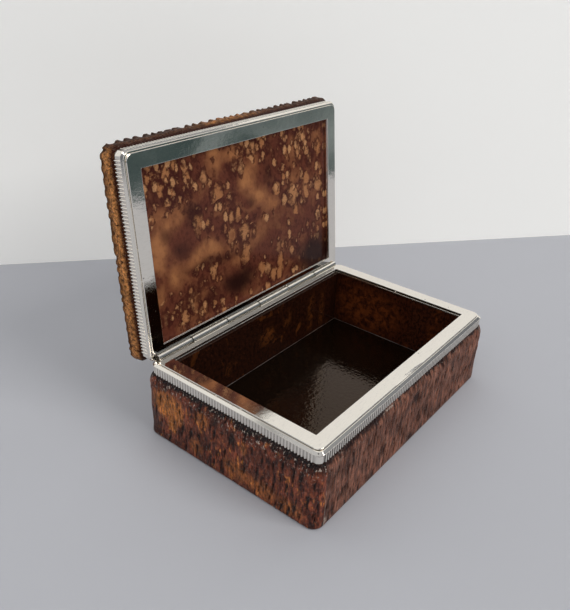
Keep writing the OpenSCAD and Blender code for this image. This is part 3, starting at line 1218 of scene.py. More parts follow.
@dataclass
class FloorSlab:
    """Lacquered floor slab with its thin bead of dried glue."""

    sizes: BoxSizes
    step: float = 1.5
    bead: float = 0.24
    bead_steps: int = 60
    bead_sink: float = 0.05
    bead_belly: float = 0.45
    bead_seed: int = 7
    pattern_level: float = 900.0

    def build(self) -> None:
        """Builds and hands over the floor."""
        low, high = (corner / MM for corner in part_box("floor_slab"))
        x = np.linspace(low.x, high.x, round((high.x - low.x) / self.step))
        y = np.linspace(low.y, high.y, round((high.y - low.y) / self.step))
        gx, gy = np.meshgrid(x, y)
        draft = MeshDraft()
        top = grid_points(gx, gy, high.z)
        slab = grid_points(gx, gy, self.pattern_level)
        rows = draft.add(top, slab=slab).reshape(gx.shape)
        draft.grid(rows)
        rim = border(rows)
        base = draft.add(top[rim] * (1, 1, 0) + (0, 0, low.z), slab=slab[rim])
        draft.strip(base, rim, closed=True)
        draft.face(base[::-1])
        self.add_bead(draft, high)
        lacquer = LacquerFinish(
            "lacquer_floor", deep=(0.0020, 0.0011, 0.0006), body=(0.0090, 0.0045, 0.0020),
            amber=(0.010, 0.004, 0.003), amber_from=0.66, tint=(1.0, 0.62, 0.38), shine=0.5, dulled=0.2,
            ripple=0.9)
        piece = draft.build("floor_slab", [lacquer.material(), GlueFinish("dried_glue").material()])
        hand_over(piece, Body.BASE, Slot.FLOOR, "floor_slab")

    def add_bead(self, draft: MeshDraft, high: Vector) -> None:
        """Runs an uneven bead of glue round the floor, against the walls.

        Args:
            draft: The mesh in hand.
            high: Upper corner of the floor slab.
        """
        corners = np.array([(-1, -1), (1, -1), (1, 1), (-1, 1), (-1, -1)], float)
        share = np.arange(self.bead_steps)[:, None] / self.bead_steps
        spots = np.concatenate([a + (b - a) * share for a, b in zip(corners[:-1], corners[1:])])
        run = np.arange(len(spots))
        size = self.bead * (1.0 + 0.6 * Grain(self.bead_seed).cloud(run / 5.0, run * 0.0))
        edge = spots * (high.x, high.y)
        inward = -np.sign(np.where(np.abs(spots) > NEARLY_ONE, spots, 0.0)) * size[:, None]
        level = np.full(len(spots), high.z)
        rows = [np.column_stack([edge, level - self.bead_sink]),
                np.column_stack([edge + inward, level - self.bead_sink]),
                np.column_stack([edge + self.bead_belly * inward, level + self.bead_belly * size]),
                np.column_stack([edge, level + size])]
        index = [draft.add(row) for row in rows]
        for a, b in zip(index, index[1:] + index[:1]):
            draft.strip(b, a, 1, closed=True)


@dataclass
class LidStone:
    """Lid slab: ridged outside, worked edges and a polished panel inside."""

    sizes: BoxSizes
    step: float = 0.62
    panel_step: float = 0.55
    panel_margin: float = 1.5
    panel_bend: float = 3.5
    bend_size: float = 9.0
    cloud_passes: int = 20
    ridge_pitch: float = 4.4
    ridge_h: float = 1.7
    ridge_over: float = 0.8
    scallop: float = 0.95
    edge_r: float = 0.7
    edge_rows: int = 14
    drip_pitch: float = 4.4
    drip_w: float = 1.25
    drip_h: float = 2.3
    face_seed: int = 121
    edge_seed: int = 133
    panel_seed: int = 157
    pattern_level: float = 50.0
    cuts: Cuts = Cuts(3.9, 8.5, 1.3, 5.5)
    clouds: tuple[Patch, ...] = (
        Patch(-54.0, -1.0, 6.0, 9.0), Patch(-46.0, -13.0, 8.0, 5.0, 0.9), Patch(-44.0, 12.0, 5.0, 5.0, 0.95),
        Patch(-57.0, 18.0, 3.0, 4.0, 0.8), Patch(-27.0, 6.0, 11.0, 3.4), Patch(-33.0, 9.0, 11.0, 2.0, 0.8),
        Patch(1.5, -16.0, 4.5, 9.5), Patch(6.0, -25.0, 3.0, 4.5, 0.9), Patch(7.5, -7.5, 6.0, 4.5, 0.95),
        Patch(15.0, -4.5, 8.0, 2.5, 0.6), Patch(-11.0, 4.5, 4.0, 7.0, 0.6), Patch(-9.0, 15.5, 6.0, 2.6, 0.7),
        Patch(6.0, 7.0, 7.0, 5.5, 0.5), Patch(-7.0, -33.0, 7.0, 5.0), Patch(-19.0, -32.0, 5.0, 6.0, 0.75),
        Patch(-57.0, -27.0, 3.0, 6.0), Patch(37.0, -26.0, 6.0, 4.5, 0.7), Patch(34.0, -11.5, 5.5, 4.5, 0.55),
        Patch(50.0, -28.0, 3.5, 4.0, 0.6), Patch(27.0, 21.0, 4.5, 3.6, 0.6),
        Patch(-38.0, 28.0, 5.0, 5.5, 0.45))
    darks: tuple[Patch, ...] = (
        Patch(-50.0, -6.5, 3.0, 4.5, 0.6), Patch(-41.0, 1.5, 4.5, 4.0, 0.6), Patch(0.5, -6.5, 3.0, 2.5, 0.65),
        Patch(-10.5, 27.0, 12.0, 7.0, 1.0), Patch(-24.0, 12.0, 20.0, 2.2, 0.6),
        Patch(52.0, 33.0, 18.0, 13.0, 1.0), Patch(-34.0, -10.0, 5.0, 6.0, 0.4),
        Patch(-27.0, 29.0, 4.0, 4.0, 0.5), Patch(14.0, -17.0, 4.0, 8.0, 0.4))
    crowded: tuple[Patch, ...] = (
        Patch(-46.0, -26.0, 16.0, 13.0, 0.42), Patch(2.0, -34.0, 24.0, 7.0, 0.34),
        Patch(34.0, -30.0, 27.0, 12.0, 0.26), Patch(-38.0, 29.0, 20.0, 9.0, 0.20),
        Patch(40.0, -4.0, 20.0, 14.0, 0.08), Patch(-22.0, -20.0, 12.0, 9.0, 0.12))
    bare: tuple[Patch, ...] = (Patch(20.0, 12.0, 24.0, 18.0, 0.10), Patch(-47.0, 1.0, 16.0, 18.0, 0.35),
                               Patch(5.0, -10.0, 12.0, 10.0, 0.25))
    edge_amber: tuple[Patch, ...] = (Patch(-4.0, -44.5, 20.0, 2.0, 0.55), Patch(-67.8, -8.0, 2.0, 66.0, 1.0),
                                     Patch(67.8, 5.0, 2.0, 26.0, 0.7), Patch(-67.8, 30.0, 2.0, 8.0, 0.6))

    def build(self) -> None:
        """Builds and hands over the lid slab."""
        draft = MeshDraft()
        rim = self.outer_face(draft)
        loop = self.edges(draft, rim)
        self.panel(draft, loop)
        finishes = (BarkFinish("bark_lid", body=(0.075, 0.032, 0.021), warm=(0.14, 0.062, 0.030), shift=560.0,
                               gloss=0.40, shine=0.25),
                    BarkFinish("bark_lid_edge", body=(0.042, 0.018, 0.010), warm=(0.095, 0.040, 0.021),
                               amber=(0.52, 0.220, 0.070), deep=(0.034, 0.008, 0.004), shine=0.06,
                               flecks=0.72, shift=700.0),
                    PanelFinish("polished_panel"))
        materials = [finish.material() for finish in finishes]
        piece = draft.build("lid_slab", materials, sharp_deg=50.0, place=self.sizes.on_lid())
        hand_over(piece, Body.LID, Slot.LID, "lid_slab")

    def outer_face(self, draft: MeshDraft) -> np.ndarray:
        """Adds the ridged outer face, which looks down while the lid is drawn as its twin on the base.

        Args:
            draft: The mesh in hand.

        Returns:
            The point indices of its rim, anticlockwise seen from above.
        """
        z = self.sizes
        x, y = self.rounded_grid()
        over_x, over_y, corner = self.past_corner(x, y)
        gap = np.where(corner, z.corner_r - np.hypot(over_x, over_y),
                       np.minimum(z.half_w - np.abs(x), z.half_d - np.abs(y)))
        grain = Grain(self.face_seed)
        wave = x / self.ridge_pitch + 0.3 * grain.cloud(x / 9, y / 16, 3)
        valley = (1 - np.abs(np.sin(math.pi * wave))) * (0.75 + 0.4 * grain.smooth(x / 7, y / 7))
        gouge = grain.gouges(x, y, self.cuts)
        rough = 0.24 * grain.cloud(x / 2.2, y / 8.0) + 0.08 * grain.smooth(x / 0.9, y / 2.0)
        fall = 1 - np.clip(gap / self.edge_r, 0, 1)
        drop = self.edge_r * (1 - np.sqrt(1 - fall ** 2))
        height = z.rim_z - z.lid_h - self.ridge_over + self.ridge_h * valley
        height = height + 0.4 * gouge + rough + 0.6 * drop
        slab = grid_points(x, y, 0.0)
        # the gouge mask also draws the valleys between the ridges darker
        rows = draft.add(grid_points(x, y, height), slab=slab,
                         gouge=np.maximum(gouge, 0.6 * valley).ravel()).reshape(x.shape)
        draft.grid(rows[::-1])
        return border(rows)

    def past_corner(self, x: np.ndarray, y: np.ndarray) -> tuple[np.ndarray, np.ndarray, np.ndarray]:
        """Compares points with the centres of the rounded corners.

        Args:
            x: Places across the slab.
            y: Places along its depth.

        Returns:
            How far they lie past the centres in x and in y, and where they lie past both.
        """
        z = self.sizes
        over_x, over_y = np.abs(x) - (z.half_w - z.corner_r), np.abs(y) - (z.half_d - z.corner_r)
        return over_x, over_y, (over_x > 0) & (over_y > 0)

    def rounded_grid(self) -> tuple[np.ndarray, np.ndarray]:
        """Lays a grid over the slab's rounded outline, with rows along its width.

        Returns:
            The x and the y of its points.
        """
        z = self.sizes
        x, y = np.meshgrid(np.linspace(-z.half_w, z.half_w, round(2 * z.half_w / self.step) + 1),
                           np.linspace(-z.half_d, z.half_d, round(2 * z.half_d / self.step) + 1))
        over_x, over_y, corner = self.past_corner(x, y)
        far = np.hypot(np.where(corner, over_x, 1.0), np.where(corner, over_y, 0.0))
        pull = np.where(corner, np.maximum(over_x, over_y) / far, 1.0) - 1.0
        return x + np.sign(x) * over_x * pull, y + np.sign(y) * over_y * pull

    def edges(self, draft: MeshDraft, rim: np.ndarray) -> np.ndarray:
        """Adds the worked edges, the shoulder and the neck of the lid slab.

        Args:
            draft: The mesh in hand.
            rim: Point indices of the outer face's rim.

        Returns:
            The point indices of the neck's upper loop.
        """
        z = self.sizes
        base = np.concatenate(draft.points)[rim]
        inner = np.array([z.half_w - z.corner_r, z.half_d - z.corner_r])
        normal = base[:, :2] - np.clip(base[:, :2], -inner, inner)
        normal /= np.linalg.norm(normal, axis=1, keepdims=True)
        u = np.concatenate([[0.0], np.cumsum(np.linalg.norm(np.diff(base[:, :2], axis=0), axis=1))])
        grain = Grain(self.edge_seed)
        phase = u / self.drip_pitch + 0.35 * grain.smooth(u / 7.0, u * 0.0)
        beside = (phase - np.round(phase)) * self.drip_pitch / self.drip_w
        tall = self.drip_h * (1.0 + 0.5 * grain.pick(np.round(phase), phase * 0.0 + 5))
        amber = patches(self.edge_amber, base[:, 0], base[:, 1])
        uneven = 1.0 + 0.4 * grain.pick(np.round(phase), phase * 0.0 + 9)
        notch = np.clip(1.5 * (1 - beside ** 2), 0, 1) * uneven
        side = normal[:, 0] ** 2
        shift = self.scallop * (0.4 - notch) * (1 - 0.6 * side)
        draft.points[0][rim, :2] += normal * shift[:, None]
        below = rim
        for k in range(1, self.edge_rows + 1):
            t = k / self.edge_rows
            v = base[:, 2] + (z.seat_z - base[:, 2]) * t
            drip = np.clip(1.5 * (1 - beside ** 2 - ((v - base[:, 2]) / tall) ** 2), 0, 1)
            inset = z.band_inset * np.clip((v - z.seat_z + z.lid_shoulder_h) / z.lid_shoulder_h, 0, 1) ** 1.3
            out = (0.3 * grain.cloud(u / 2.5, v / 3.0) - 0.45 * drip + 0.1) * min(1.0, 4 * (1 - t)) - inset
            out += shift * (1 - t) ** 3
            row = np.column_stack([base[:, :2] + normal * out[:, None], v])
            # dark strip of the edge next to the band: dark glossy lacquer, with painted shade under the band
            wet = np.full_like(u, float(fade(np.array(t), 0.74, 0.92)))
            # the edge is drawn darker next to the outer face, more on the left and right sides
            edge = (0.5 + 0.4 * side) * np.clip(1 - (4.0 - 1.4 * side) * t, 0, 1)
            index = draft.add(row, slab=np.column_stack([u, 3 * v, u * 0]), wet=wet,
                              gouge=np.maximum(drip * (1 - 0.3 * side), edge), amber=amber)
            draft.strip(below, index, 1, closed=True)
            below = index
        for height in (z.seat_z, z.neck_z):
            row = np.column_stack([base[:, :2] - normal * z.neck_inset, np.full(len(u), height)])
            index = draft.add(row, slab=np.column_stack([u, 3 * row[:, 2], u * 0]))
            draft.strip(below, index, 1, closed=True)
            below = index
        return below

    def panel(self, draft: MeshDraft, loop: np.ndarray) -> None:
        """Adds the polished panel, which looks up while the lid is drawn as its twin on the base.

        Args:
            draft: The mesh in hand.
            loop: Point indices of the neck's upper loop.
        """
        z = self.sizes
        half_w, front, back = z.opening
        half_w, front, back = half_w + self.panel_margin, front - self.panel_margin, back + self.panel_margin
        x, y = np.meshgrid(np.linspace(-half_w, half_w, round(2 * half_w / self.panel_step) + 1),
                           np.linspace(front, back, round((back - front) / self.panel_step) + 1))
        grain = Grain(self.panel_seed)
        bend_u, bend_v = x / self.bend_size, y / self.bend_size
        bend_x = self.panel_bend * grain.cloud(bend_u, bend_v, 2)
        bend_y = self.panel_bend * grain.cloud(bend_u + 40, bend_v, 2)
        cloud = soften(patches(self.clouds, x + bend_x, y + bend_y), self.cloud_passes)
        masks = {"cloud": np.clip(cloud * (1.0 + 0.6 * grain.cloud(x / 3.4, y / 3.4, 3)), 0, 1),
                 "gouge": soften(patches(self.darks, x + bend_x, y + bend_y), self.cloud_passes // 2),
                 "cells": patches(self.crowded, x, y) - patches(self.bare, x, y)}
        slab = grid_points(x, y, self.pattern_level)
        points = grid_points(x, y, z.neck_z)
        rows = draft.add(points, slab=slab, **{k: m.ravel() for k, m in masks.items()}).reshape(x.shape)
        draft.grid(rows, 2)
        self.join_loops(draft, loop, border(rows))

    def join_loops(self, draft: MeshDraft, loop: np.ndarray, rim: np.ndarray) -> None:
        """Fills the flat ring between the neck's edge and the panel with triangles.

        Args:
            draft: The mesh in hand.
            loop: Point indices of the neck's upper loop, anticlockwise.
            rim: Point indices of the panel's rim, anticlockwise.
        """
        points = np.concatenate(draft.points)
        scale = np.array([self.sizes.half_w, self.sizes.half_d])
        angle_a, angle_b = (np.unwrap(np.arctan2(*(points[k, :2] / scale).T[::-1])) for k in (loop, rim))
        angle_b -= 2 * math.pi * round((angle_b[0] - angle_a[0]) / (2 * math.pi))
        i = j = 0
        n, m = len(loop), len(rim)
        while i < n or j < m:
            next_a = angle_a[i + 1] if i + 1 < n else angle_a[0] + 2 * math.pi
            next_b = angle_b[j + 1] if j + 1 < m else angle_b[0] + 2 * math.pi
            if j >= m or (i < n and next_a <= next_b):
                draft.face((loop[i], loop[(i + 1) % n], rim[j % m]), 2)
                i += 1
            else:
                draft.face((loop[i % n], rim[(j + 1) % m], rim[j]), 2)
                j += 1


# Frame


class NodeBuild:
    """Runs a Geometry Nodes tree on a mesh and keeps the result as a plain mesh."""

    def __init__(self, name: str, inputs: dict[str, str]) -> None:
        """Starts a tree with named inputs beside its geometry.

        Args:
            name: Name of the tree.
            inputs: Socket types of the inputs, by name.
        """
        self.tree = bpy.data.node_groups.new(name, "GeometryNodeTree")
        self.sockets: dict[str, str] = {}
        self.tree.interface.new_socket("Geometry", in_out="INPUT", socket_type="NodeSocketGeometry")
        for key, kind in {**inputs, "Finish": "NodeSocketMaterial"}.items():
            socket = self.tree.interface.new_socket(key, in_out="INPUT", socket_type=kind)
            self.sockets[key] = socket.identifier
        self.tree.interface.new_socket("Geometry", in_out="OUTPUT", socket_type="NodeSocketGeometry")
        self.sketch = Sketch(self.tree)
        self.inside = self.sketch.node("NodeGroupInput").outputs

    def value(self, attribute: str) -> bpy.types.NodeSocket:
        """Reads an attribute of the points."""
        return self.sketch.node("GeometryNodeInputNamedAttribute", {"Name": attribute},
                                data_type="FLOAT").outputs["Attribute"]

    def over(self, value: Any, limit: float) -> bpy.types.NodeSocket:
        """Tells where a value is over a limit."""
        made = self.sketch.node("FunctionNodeCompare", {0: value, 1: limit}, operation="GREATER_THAN")
        return made.outputs[0]

    def close(self, geometry: Sequence[bpy.types.NodeSocket]) -> None:
        """Joins the parts, realizes them and sets their material.

        Args:
            geometry: Geometry sockets of the parts.
        """
        join = self.sketch.node("GeometryNodeJoinGeometry")
        for part in geometry:
            self.tree.links.new(part, join.inputs[0])
        done = self.sketch.node("GeometryNodeRealizeInstances", {0: join.outputs[0]})
        done = self.sketch.node("GeometryNodeSetMaterial", {"Geometry": done.outputs[0],
                                                            "Material": self.inside["Finish"]})
        self.sketch.node("NodeGroupOutput", {0: done.outputs[0]})

    def run(self, draft: MeshDraft, name: str, values: dict[str, Any], place: Optional[Matrix],
            sharp_deg: float = 35.0) -> bpy.types.Object:
        """Runs the tree on a draft in millimetres.

        Args:
            draft: The mesh that the tree starts from.
            name: Name of the piece.
            values: Values of the tree's inputs.
            place: Matrix in millimetres for the finished mesh.
            sharp_deg: Angle over which edges stay sharp.

        Returns:
            The finished piece.
        """
        mesh = draft.mesh(name + "_draft")
        carrier = put_in_scene(name + "_draft", mesh)
        modifier = carrier.modifiers.new(self.tree.name, "NODES")
        modifier.node_group = self.tree
        for key, value in values.items():
            modifier[self.sockets[key]] = value
        made = plain_mesh(carrier, keep_layers=True)
        bpy.data.objects.remove(carrier)
        bpy.data.meshes.remove(mesh)
        made.name = name
        return finish_mesh(name, made, sharp_deg, place, level=True)


def plate_mesh(name: str, outline: Sequence[Point], opening: Sequence[Point], low: float, high: float,
               edge: float) -> bpy.types.Mesh:
    """Makes a flat plate with an opening and rounded edges from a filled curve.

    Args:
        name: Name of the mesh.
        outline: Outer corners in millimetres.
        opening: Corners of the opening.
        low: Height of the lower face.
        high: Height of the upper face.
        edge: Radius of the edges.

    Returns:
        The mesh in millimetres.
    """
    curve = bpy.data.curves.new(name, "CURVE")
    curve.dimensions, curve.fill_mode = "2D", "BOTH"
    curve.extrude, curve.bevel_depth, curve.bevel_resolution = (high - low) / 2 - edge, edge, 3
    curve.offset = -edge
    for corners in (outline, opening):
        spline = curve.splines.new("POLY")
        spline.points.add(len(corners) - 1)
        spline.points.foreach_set("co", [c for x, y in corners for c in (x, y, 0.0, 1.0)])
        spline.use_cyclic_u = True
    carrier = put_in_scene(name, curve)
    mesh = plain_mesh(carrier)
    bpy.data.objects.remove(carrier)
    bpy.data.curves.remove(curve)
    mesh.transform(Matrix.Translation((0.0, 0.0, (low + high) / 2)))
    work = bmesh.new()
    work.from_mesh(mesh)
    bmesh.ops.remove_doubles(work, verts=work.verts, dist=0.002)
    bmesh.ops.recalc_face_normals(work, faces=work.faces)
    work.to_mesh(mesh)
    work.free()
    return mesh


@dataclass
class ReededBand:
    """Bent ring: a plain ledge over a reeded skirt, and a flat web under the plate."""

    sizes: BoxSizes
    corner_facets: int = 4
    edge: float = 0.18
    reed_r: float = 0.62
    groove_in: float = 0.3
    ledge_drop: float = 0.75
    ledge_rise: float = 0.86
    ledge_run: float = 1.3
    ledge_h: float = 0.05
    ledge_w: float = 2.2
    ledge_end: float = 0.15
    lid_web_rise: float = 0.8
    lap: float = 0.05
    tuck: float = 0.02
    outline_steps: int = 12
    reed_sides: int = 24
    # darkness of the grooves on the long sides, the base's short sides and the lid's short sides: grime with
    # painted shade
    groove_grime_and_shade_wide: float = 1.0
    groove_grime_and_shade_deep: float = 0.45
    lid_groove_grime_and_shade_deep: float = 0.0

    @property
    def ledge_top(self) -> float:
        """Height of the ledge, close under the plate."""
        return self.sizes.rim_z - self.ledge_drop

    @property
    def ledge_low(self) -> float:
        """Height of the ledge's lower edge, where the reeds begin."""
        return self.ledge_top - self.ledge_rise - self.ledge_h

    @property
    def web_low(self) -> float:
        """Height of the web's lower face."""
        return self.sizes.web_z - self.sizes.web_t

    @property
    def corner_r(self) -> float:
        """Radius of the band's corners."""
        return self.sizes.corner_r - self.sizes.band_inset

    def tree(self) -> NodeBuild:
        """Builds the tree that stands the reeds round the skirt, with flanks marked as groove, drawn dark as
        grime with painted shade.

        Returns:
            The tree, ready to run.
        """
        floats = ("Reed Radius", "Reed Foot", "Reed Top", "Hinge Side Top", "Side Width", "Side Depth",
                  "Reach X", "Reach Y", "Grime And Shade Wide", "Stain Deep")
        sockets = {**dict.fromkeys(floats, "NodeSocketFloat"),
                   **dict.fromkeys(("Reeds Wide", "Reeds Deep"), "NodeSocketInt")}
        build = NodeBuild("reeds_round_a_skirt", sockets)
        s, inside = build.sketch, build.inside
        parts = [inside["Geometry"]]
        wide = ("Side Width", "Reeds Wide", "Reach Y", "Grime And Shade Wide")
        deep = ("Side Depth", "Reeds Deep", "Reach X", "Stain Deep")
        for (length, count, reach, stain), top, turns in (
                (wide, "Reed Top", (0.0,)),
                (wide, "Hinge Side Top", (math.pi,)),
                (deep, "Reed Top", (math.pi / 2, -math.pi / 2))):
            tall = s.math("SUBTRACT", inside[top], inside["Reed Foot"])
            middle = s.math("MULTIPLY", s.math("ADD", inside[top], inside["Reed Foot"]), 0.5)
            reed = s.node("GeometryNodeMeshCylinder", {"Vertices": self.reed_sides,
                                                       "Radius": inside["Reed Radius"], "Depth": tall})
            spot = s.node("GeometryNodeInputPosition").outputs[0]
            back = s.node("ShaderNodeSeparateXYZ", {0: spot}).outputs[1]
            # flanks of each reed, away from its crest, take the groove mask: grime with painted shade
            flank = s.spread(s.math("DIVIDE", back, inside["Reed Radius"]), -0.87, -0.64)
            reed = s.node("GeometryNodeStoreNamedAttribute", {
                "Geometry": reed.outputs[0], "Name": "groove",
                "Value": s.math("MULTIPLY", flank, inside[stain])})
            half = s.math("MULTIPLY", inside[length], 0.5)
            away = s.math("MULTIPLY", inside[reach], -1.0)
            start = s.node("ShaderNodeCombineXYZ", {0: s.math("MULTIPLY", half, -1.0), 1: away, 2: middle})
            end = s.node("ShaderNodeCombineXYZ", {0: half, 1: away, 2: middle})
            line = s.node("GeometryNodeMeshLine", {"Count": inside[count], "Start Location": start.outputs[0],
                                                   "Offset": end.outputs[0]}, mode="END_POINTS")
            stood = s.node("GeometryNodeInstanceOnPoints", {"Points": line.outputs[0],
                                                            "Instance": reed.outputs[0]})
            for turn in turns:
                parts.append(s.node("GeometryNodeTransform", {"Geometry": stood.outputs[0],
                                                              "Rotation": (0.0, 0.0, turn)}).outputs[0])
        build.close(parts)
        return build

    def sweep(self, draft: MeshDraft, path: Outline, section: list[Point], closed: bool,
              deep: float = 0.0) -> None:
        """Sweeps a section round the band, raised to plain facets at the corners.

        Args:
            draft: The mesh in hand.
            path: Points of the band's outline with their normals.
            section: Inset and height of the section's corners, clockwise from its outer foot.
            closed: Whether the path closes on itself.
            deep: How dark the grooves of the two short sides are drawn, as grime with painted shade.
        """
        rings = []
        for k, (inset, height) in enumerate(section):
            points, stain = [], []
            for i, (spot, normal) in enumerate(path):
                corner = i % (self.corner_facets + 1) not in (0, self.corner_facets)
                low = k < 2 and inset >= self.groove_in
                points.append((*(spot - normal * (self.edge if low and corner else inset)), height))
                # groove mask, weaker on the short sides: grime with painted shade
                side = deep if abs(normal[0]) > abs(normal[1]) else self.groove_grime_and_shade_wide
                stain.append(side if low and not corner else 0.0)
            rings.append(draft.add(np.array(points), groove=np.array(stain)))
        for a, b in zip(rings, rings[1:] + rings[:1]):
            draft.strip(a, b, closed=closed)
        if not closed:
            draft.face([ring[0] for ring in rings])
            draft.face([ring[-1] for ring in rings[::-1]])

    def shell(self, name: str, rise: float, deep: float) -> MeshDraft:
        """Draws the skirt, the ledge and the web, which may reach up closer to the plate.

        Args:
            name: Name of the piece.
            rise: How much higher the web reaches than the solid's.
            deep: How dark the grooves of the two short sides are drawn, as grime with painted shade.

        Returns:
            The mesh in hand.
        """
        z = self.sizes
        draft = MeshDraft()
        path = rounded_path(z.band_half_w, z.band_half_d, self.corner_r, self.corner_facets)
        inner = z.reed_depth + z.skirt_t
        reed_top, head = self.ledge_low + self.lap, self.web_low + 2 * self.lap
        self.sweep(draft, path, [(self.groove_in, z.band_low), (self.groove_in, reed_top),
                                 (z.reed_depth, reed_top), (z.reed_depth, head), (inner, head),
                                 (inner, z.band_low)], True, deep)
        sides = path[-self.corner_facets - 1:] + path[:-self.corner_facets - 1]
        for first, second in ((0, 1), (-1, -2)):
            spot, normal = sides[first]
            sides[first] = (spot + self.ledge_end * (sides[second][0] - spot), normal)
        top, brow, low = self.ledge_top, self.ledge_top - self.ledge_rise, self.ledge_low
        behind = z.reed_depth + self.tuck
        self.sweep(draft, sides, [(behind, self.web_low), (behind, low), (0.0, low), (0.0, brow - self.edge),
                                  (0.4 * self.edge, brow + 0.2 * self.edge),
                                  (self.ledge_run - self.edge, top - 0.4 * self.edge),
                                  (self.ledge_run + self.edge, top), (self.ledge_w, top),
                                  (self.ledge_w, self.web_low)], closed=False)
        inset = self.ledge_run / 2
        outline = [(spot[0], spot[1] + inset / 2) for spot, _ in rounded_path(
            z.band_half_w - inset, z.band_half_d - inset / 2, self.corner_r, self.outline_steps)]
        web = plate_mesh(name, outline, z.opening_corners, self.web_low, z.web_z + rise, self.edge)
        index = draft.add(np.array([v.co for v in web.vertices]), groove=np.zeros(len(web.vertices)))
        for polygon in web.polygons:
            draft.face([index[k] for k in polygon.vertices])
        bpy.data.meshes.remove(web)
        return draft

    def build(self, finish: bpy.types.Material) -> None:
        """Builds and hands over the bands of base and lid.

        Args:
            finish: Material of the pieces.
        """
        z = self.sizes
        build = self.tree()
        values: dict[str, Any] = {
            "Finish": finish, "Reed Radius": self.reed_r, "Grime And Shade Wide": self.groove_grime_and_shade_wide,
            "Reed Foot": z.band_low, "Reed Top": self.ledge_low + self.lap,
            "Hinge Side Top": self.web_low + self.lap,
            "Reach X": z.band_half_w - self.reed_r, "Reach Y": z.band_half_d - self.reed_r}
        for key, side, half in (("Wide", "Side Width", z.band_half_w), ("Deep", "Side Depth", z.band_half_d)):
            values[side] = 2 * (half - self.corner_r - self.reed_r)
            values["Reeds " + key] = 1 + round(values[side] / z.reed_pitch)
        # the short sides of the base get weaker groove grime and painted shade, those of the lid none
        rows = ((Body.BASE, "base_reeded_band", 0.0, self.groove_grime_and_shade_deep, None),
                (Body.LID, "lid_reeded_band", self.lid_web_rise, self.lid_groove_grime_and_shade_deep, z.on_lid()))
        for body, node, rise, deep, place in rows:
            values["Stain Deep"] = deep
            piece = build.run(self.shell(node, rise, deep), node, values, place, sharp_deg=20.0)
            hand_over(piece, body, Slot.FRAME, node)


@dataclass
class RimPlates:
    """Flat polished plates round the opening of base and lid."""

    sizes: BoxSizes
    edge: float = 0.2
    plate_t: float = 0.55
    nick_l: float = 24.5
    nick_d: float = 1.1
    nick_h: float = 0.5
    nick_x: float = -2.4
    nick_facets: int = 720
    corner_steps: int = 10
    clear: float = 0.01

    @property
    def low(self) -> float:
        """Height of the lower face of the base's plate."""
        return self.sizes.rim_z - self.plate_t

    def outline(self, slots: Sequence[int]) -> list[Point]:
        """Draws the outline of a plate.

        Args:
            slots: Numbers of the other leaf's knuckles, which get a slot each.

        Returns:
            The corners of the outline, anticlockwise.
        """
        z = self.sizes
        middle = (z.plate_front + z.plate_back) / 2
        depth = (z.plate_back - z.plate_front) / 2
        corners = rounded_path(z.plate_half_w, depth, z.plate_r, self.corner_steps)
        path = [(spot[0], spot[1] + middle) for spot, _ in corners]
        edges = z.knuckle_edges
        back = []
        for i in sorted(slots, reverse=True):
            back += [(edges[i + 1], z.plate_back), (edges[i + 1], z.slot_back), (edges[i], z.slot_back),
                     (edges[i], z.plate_back)]
        limit = z.plate_half_w - z.plate_r - self.clear
        back = [(min(max(x, -limit), limit), y) for x, y in back]
        behind = 3 * (self.corner_steps + 1)
        return path[:behind] + back + path[behind:]

    def cut_nick(self, piece: bpy.types.Object) -> None:
        """Cuts the lens-shaped nail nick into the front edge of the base's plate.

        Args:
            piece: The base's plate.
        """
        z = self.sizes
        slope = math.atan2(self.nick_h, self.nick_d)
        sagitta = self.nick_d * math.sin(slope)
        radius = (self.nick_l ** 2 / 4 + sagitta ** 2) / (2 * sagitta)
        place = (Matrix.Scale(MM, 4) @ Matrix.Translation((self.nick_x, z.plate_front + self.nick_d, z.rim_z))
                 @ Matrix.Rotation(slope, 4, "X") @ Matrix.Translation((0.0, 0.0, radius))
                 @ Matrix.Rotation(math.pi / 2, 4, "X"))
        work = bmesh.new()
        bmesh.ops.create_cone(work, cap_ends=True, segments=self.nick_facets, radius1=radius, radius2=radius,
                              depth=4 * self.nick_d, matrix=place)
        mesh = bpy.data.meshes.new("nick_cutter")
        work.to_mesh(mesh)
        work.free()
        cutter = put_in_scene("nick_cutter", mesh)
        cut = piece.modifiers.new("nail_nick", "BOOLEAN")
        cut.object, cut.operation, cut.solver = cutter, "DIFFERENCE", "EXACT"
        made = plain_mesh(piece)
        piece.modifiers.clear()
        piece.data = made
        bpy.data.objects.remove(cutter)
        bpy.data.meshes.remove(mesh)

    def build(self, finish: bpy.types.Material) -> None:
        """Builds and hands over the two plates.

        Args:
            finish: Material of the pieces.
        """
        z = self.sizes
        rows = ((Body.BASE, "base_rim_plate", z.lid_knuckles, None),
                (Body.LID, "lid_rim_plate", z.base_knuckles, z.on_lid()))
        for body, node, slots, place in rows:
            mesh = plate_mesh(node, self.outline(slots), z.opening_corners, self.low, z.rim_z, self.edge)
            mesh.materials.append(finish)
            piece = finish_mesh(node, mesh, sharp_deg=25.0, place=place, level=True)
            if body is Body.BASE:
                self.cut_nick(piece)
            hand_over(piece, body, Slot.FRAME, node)


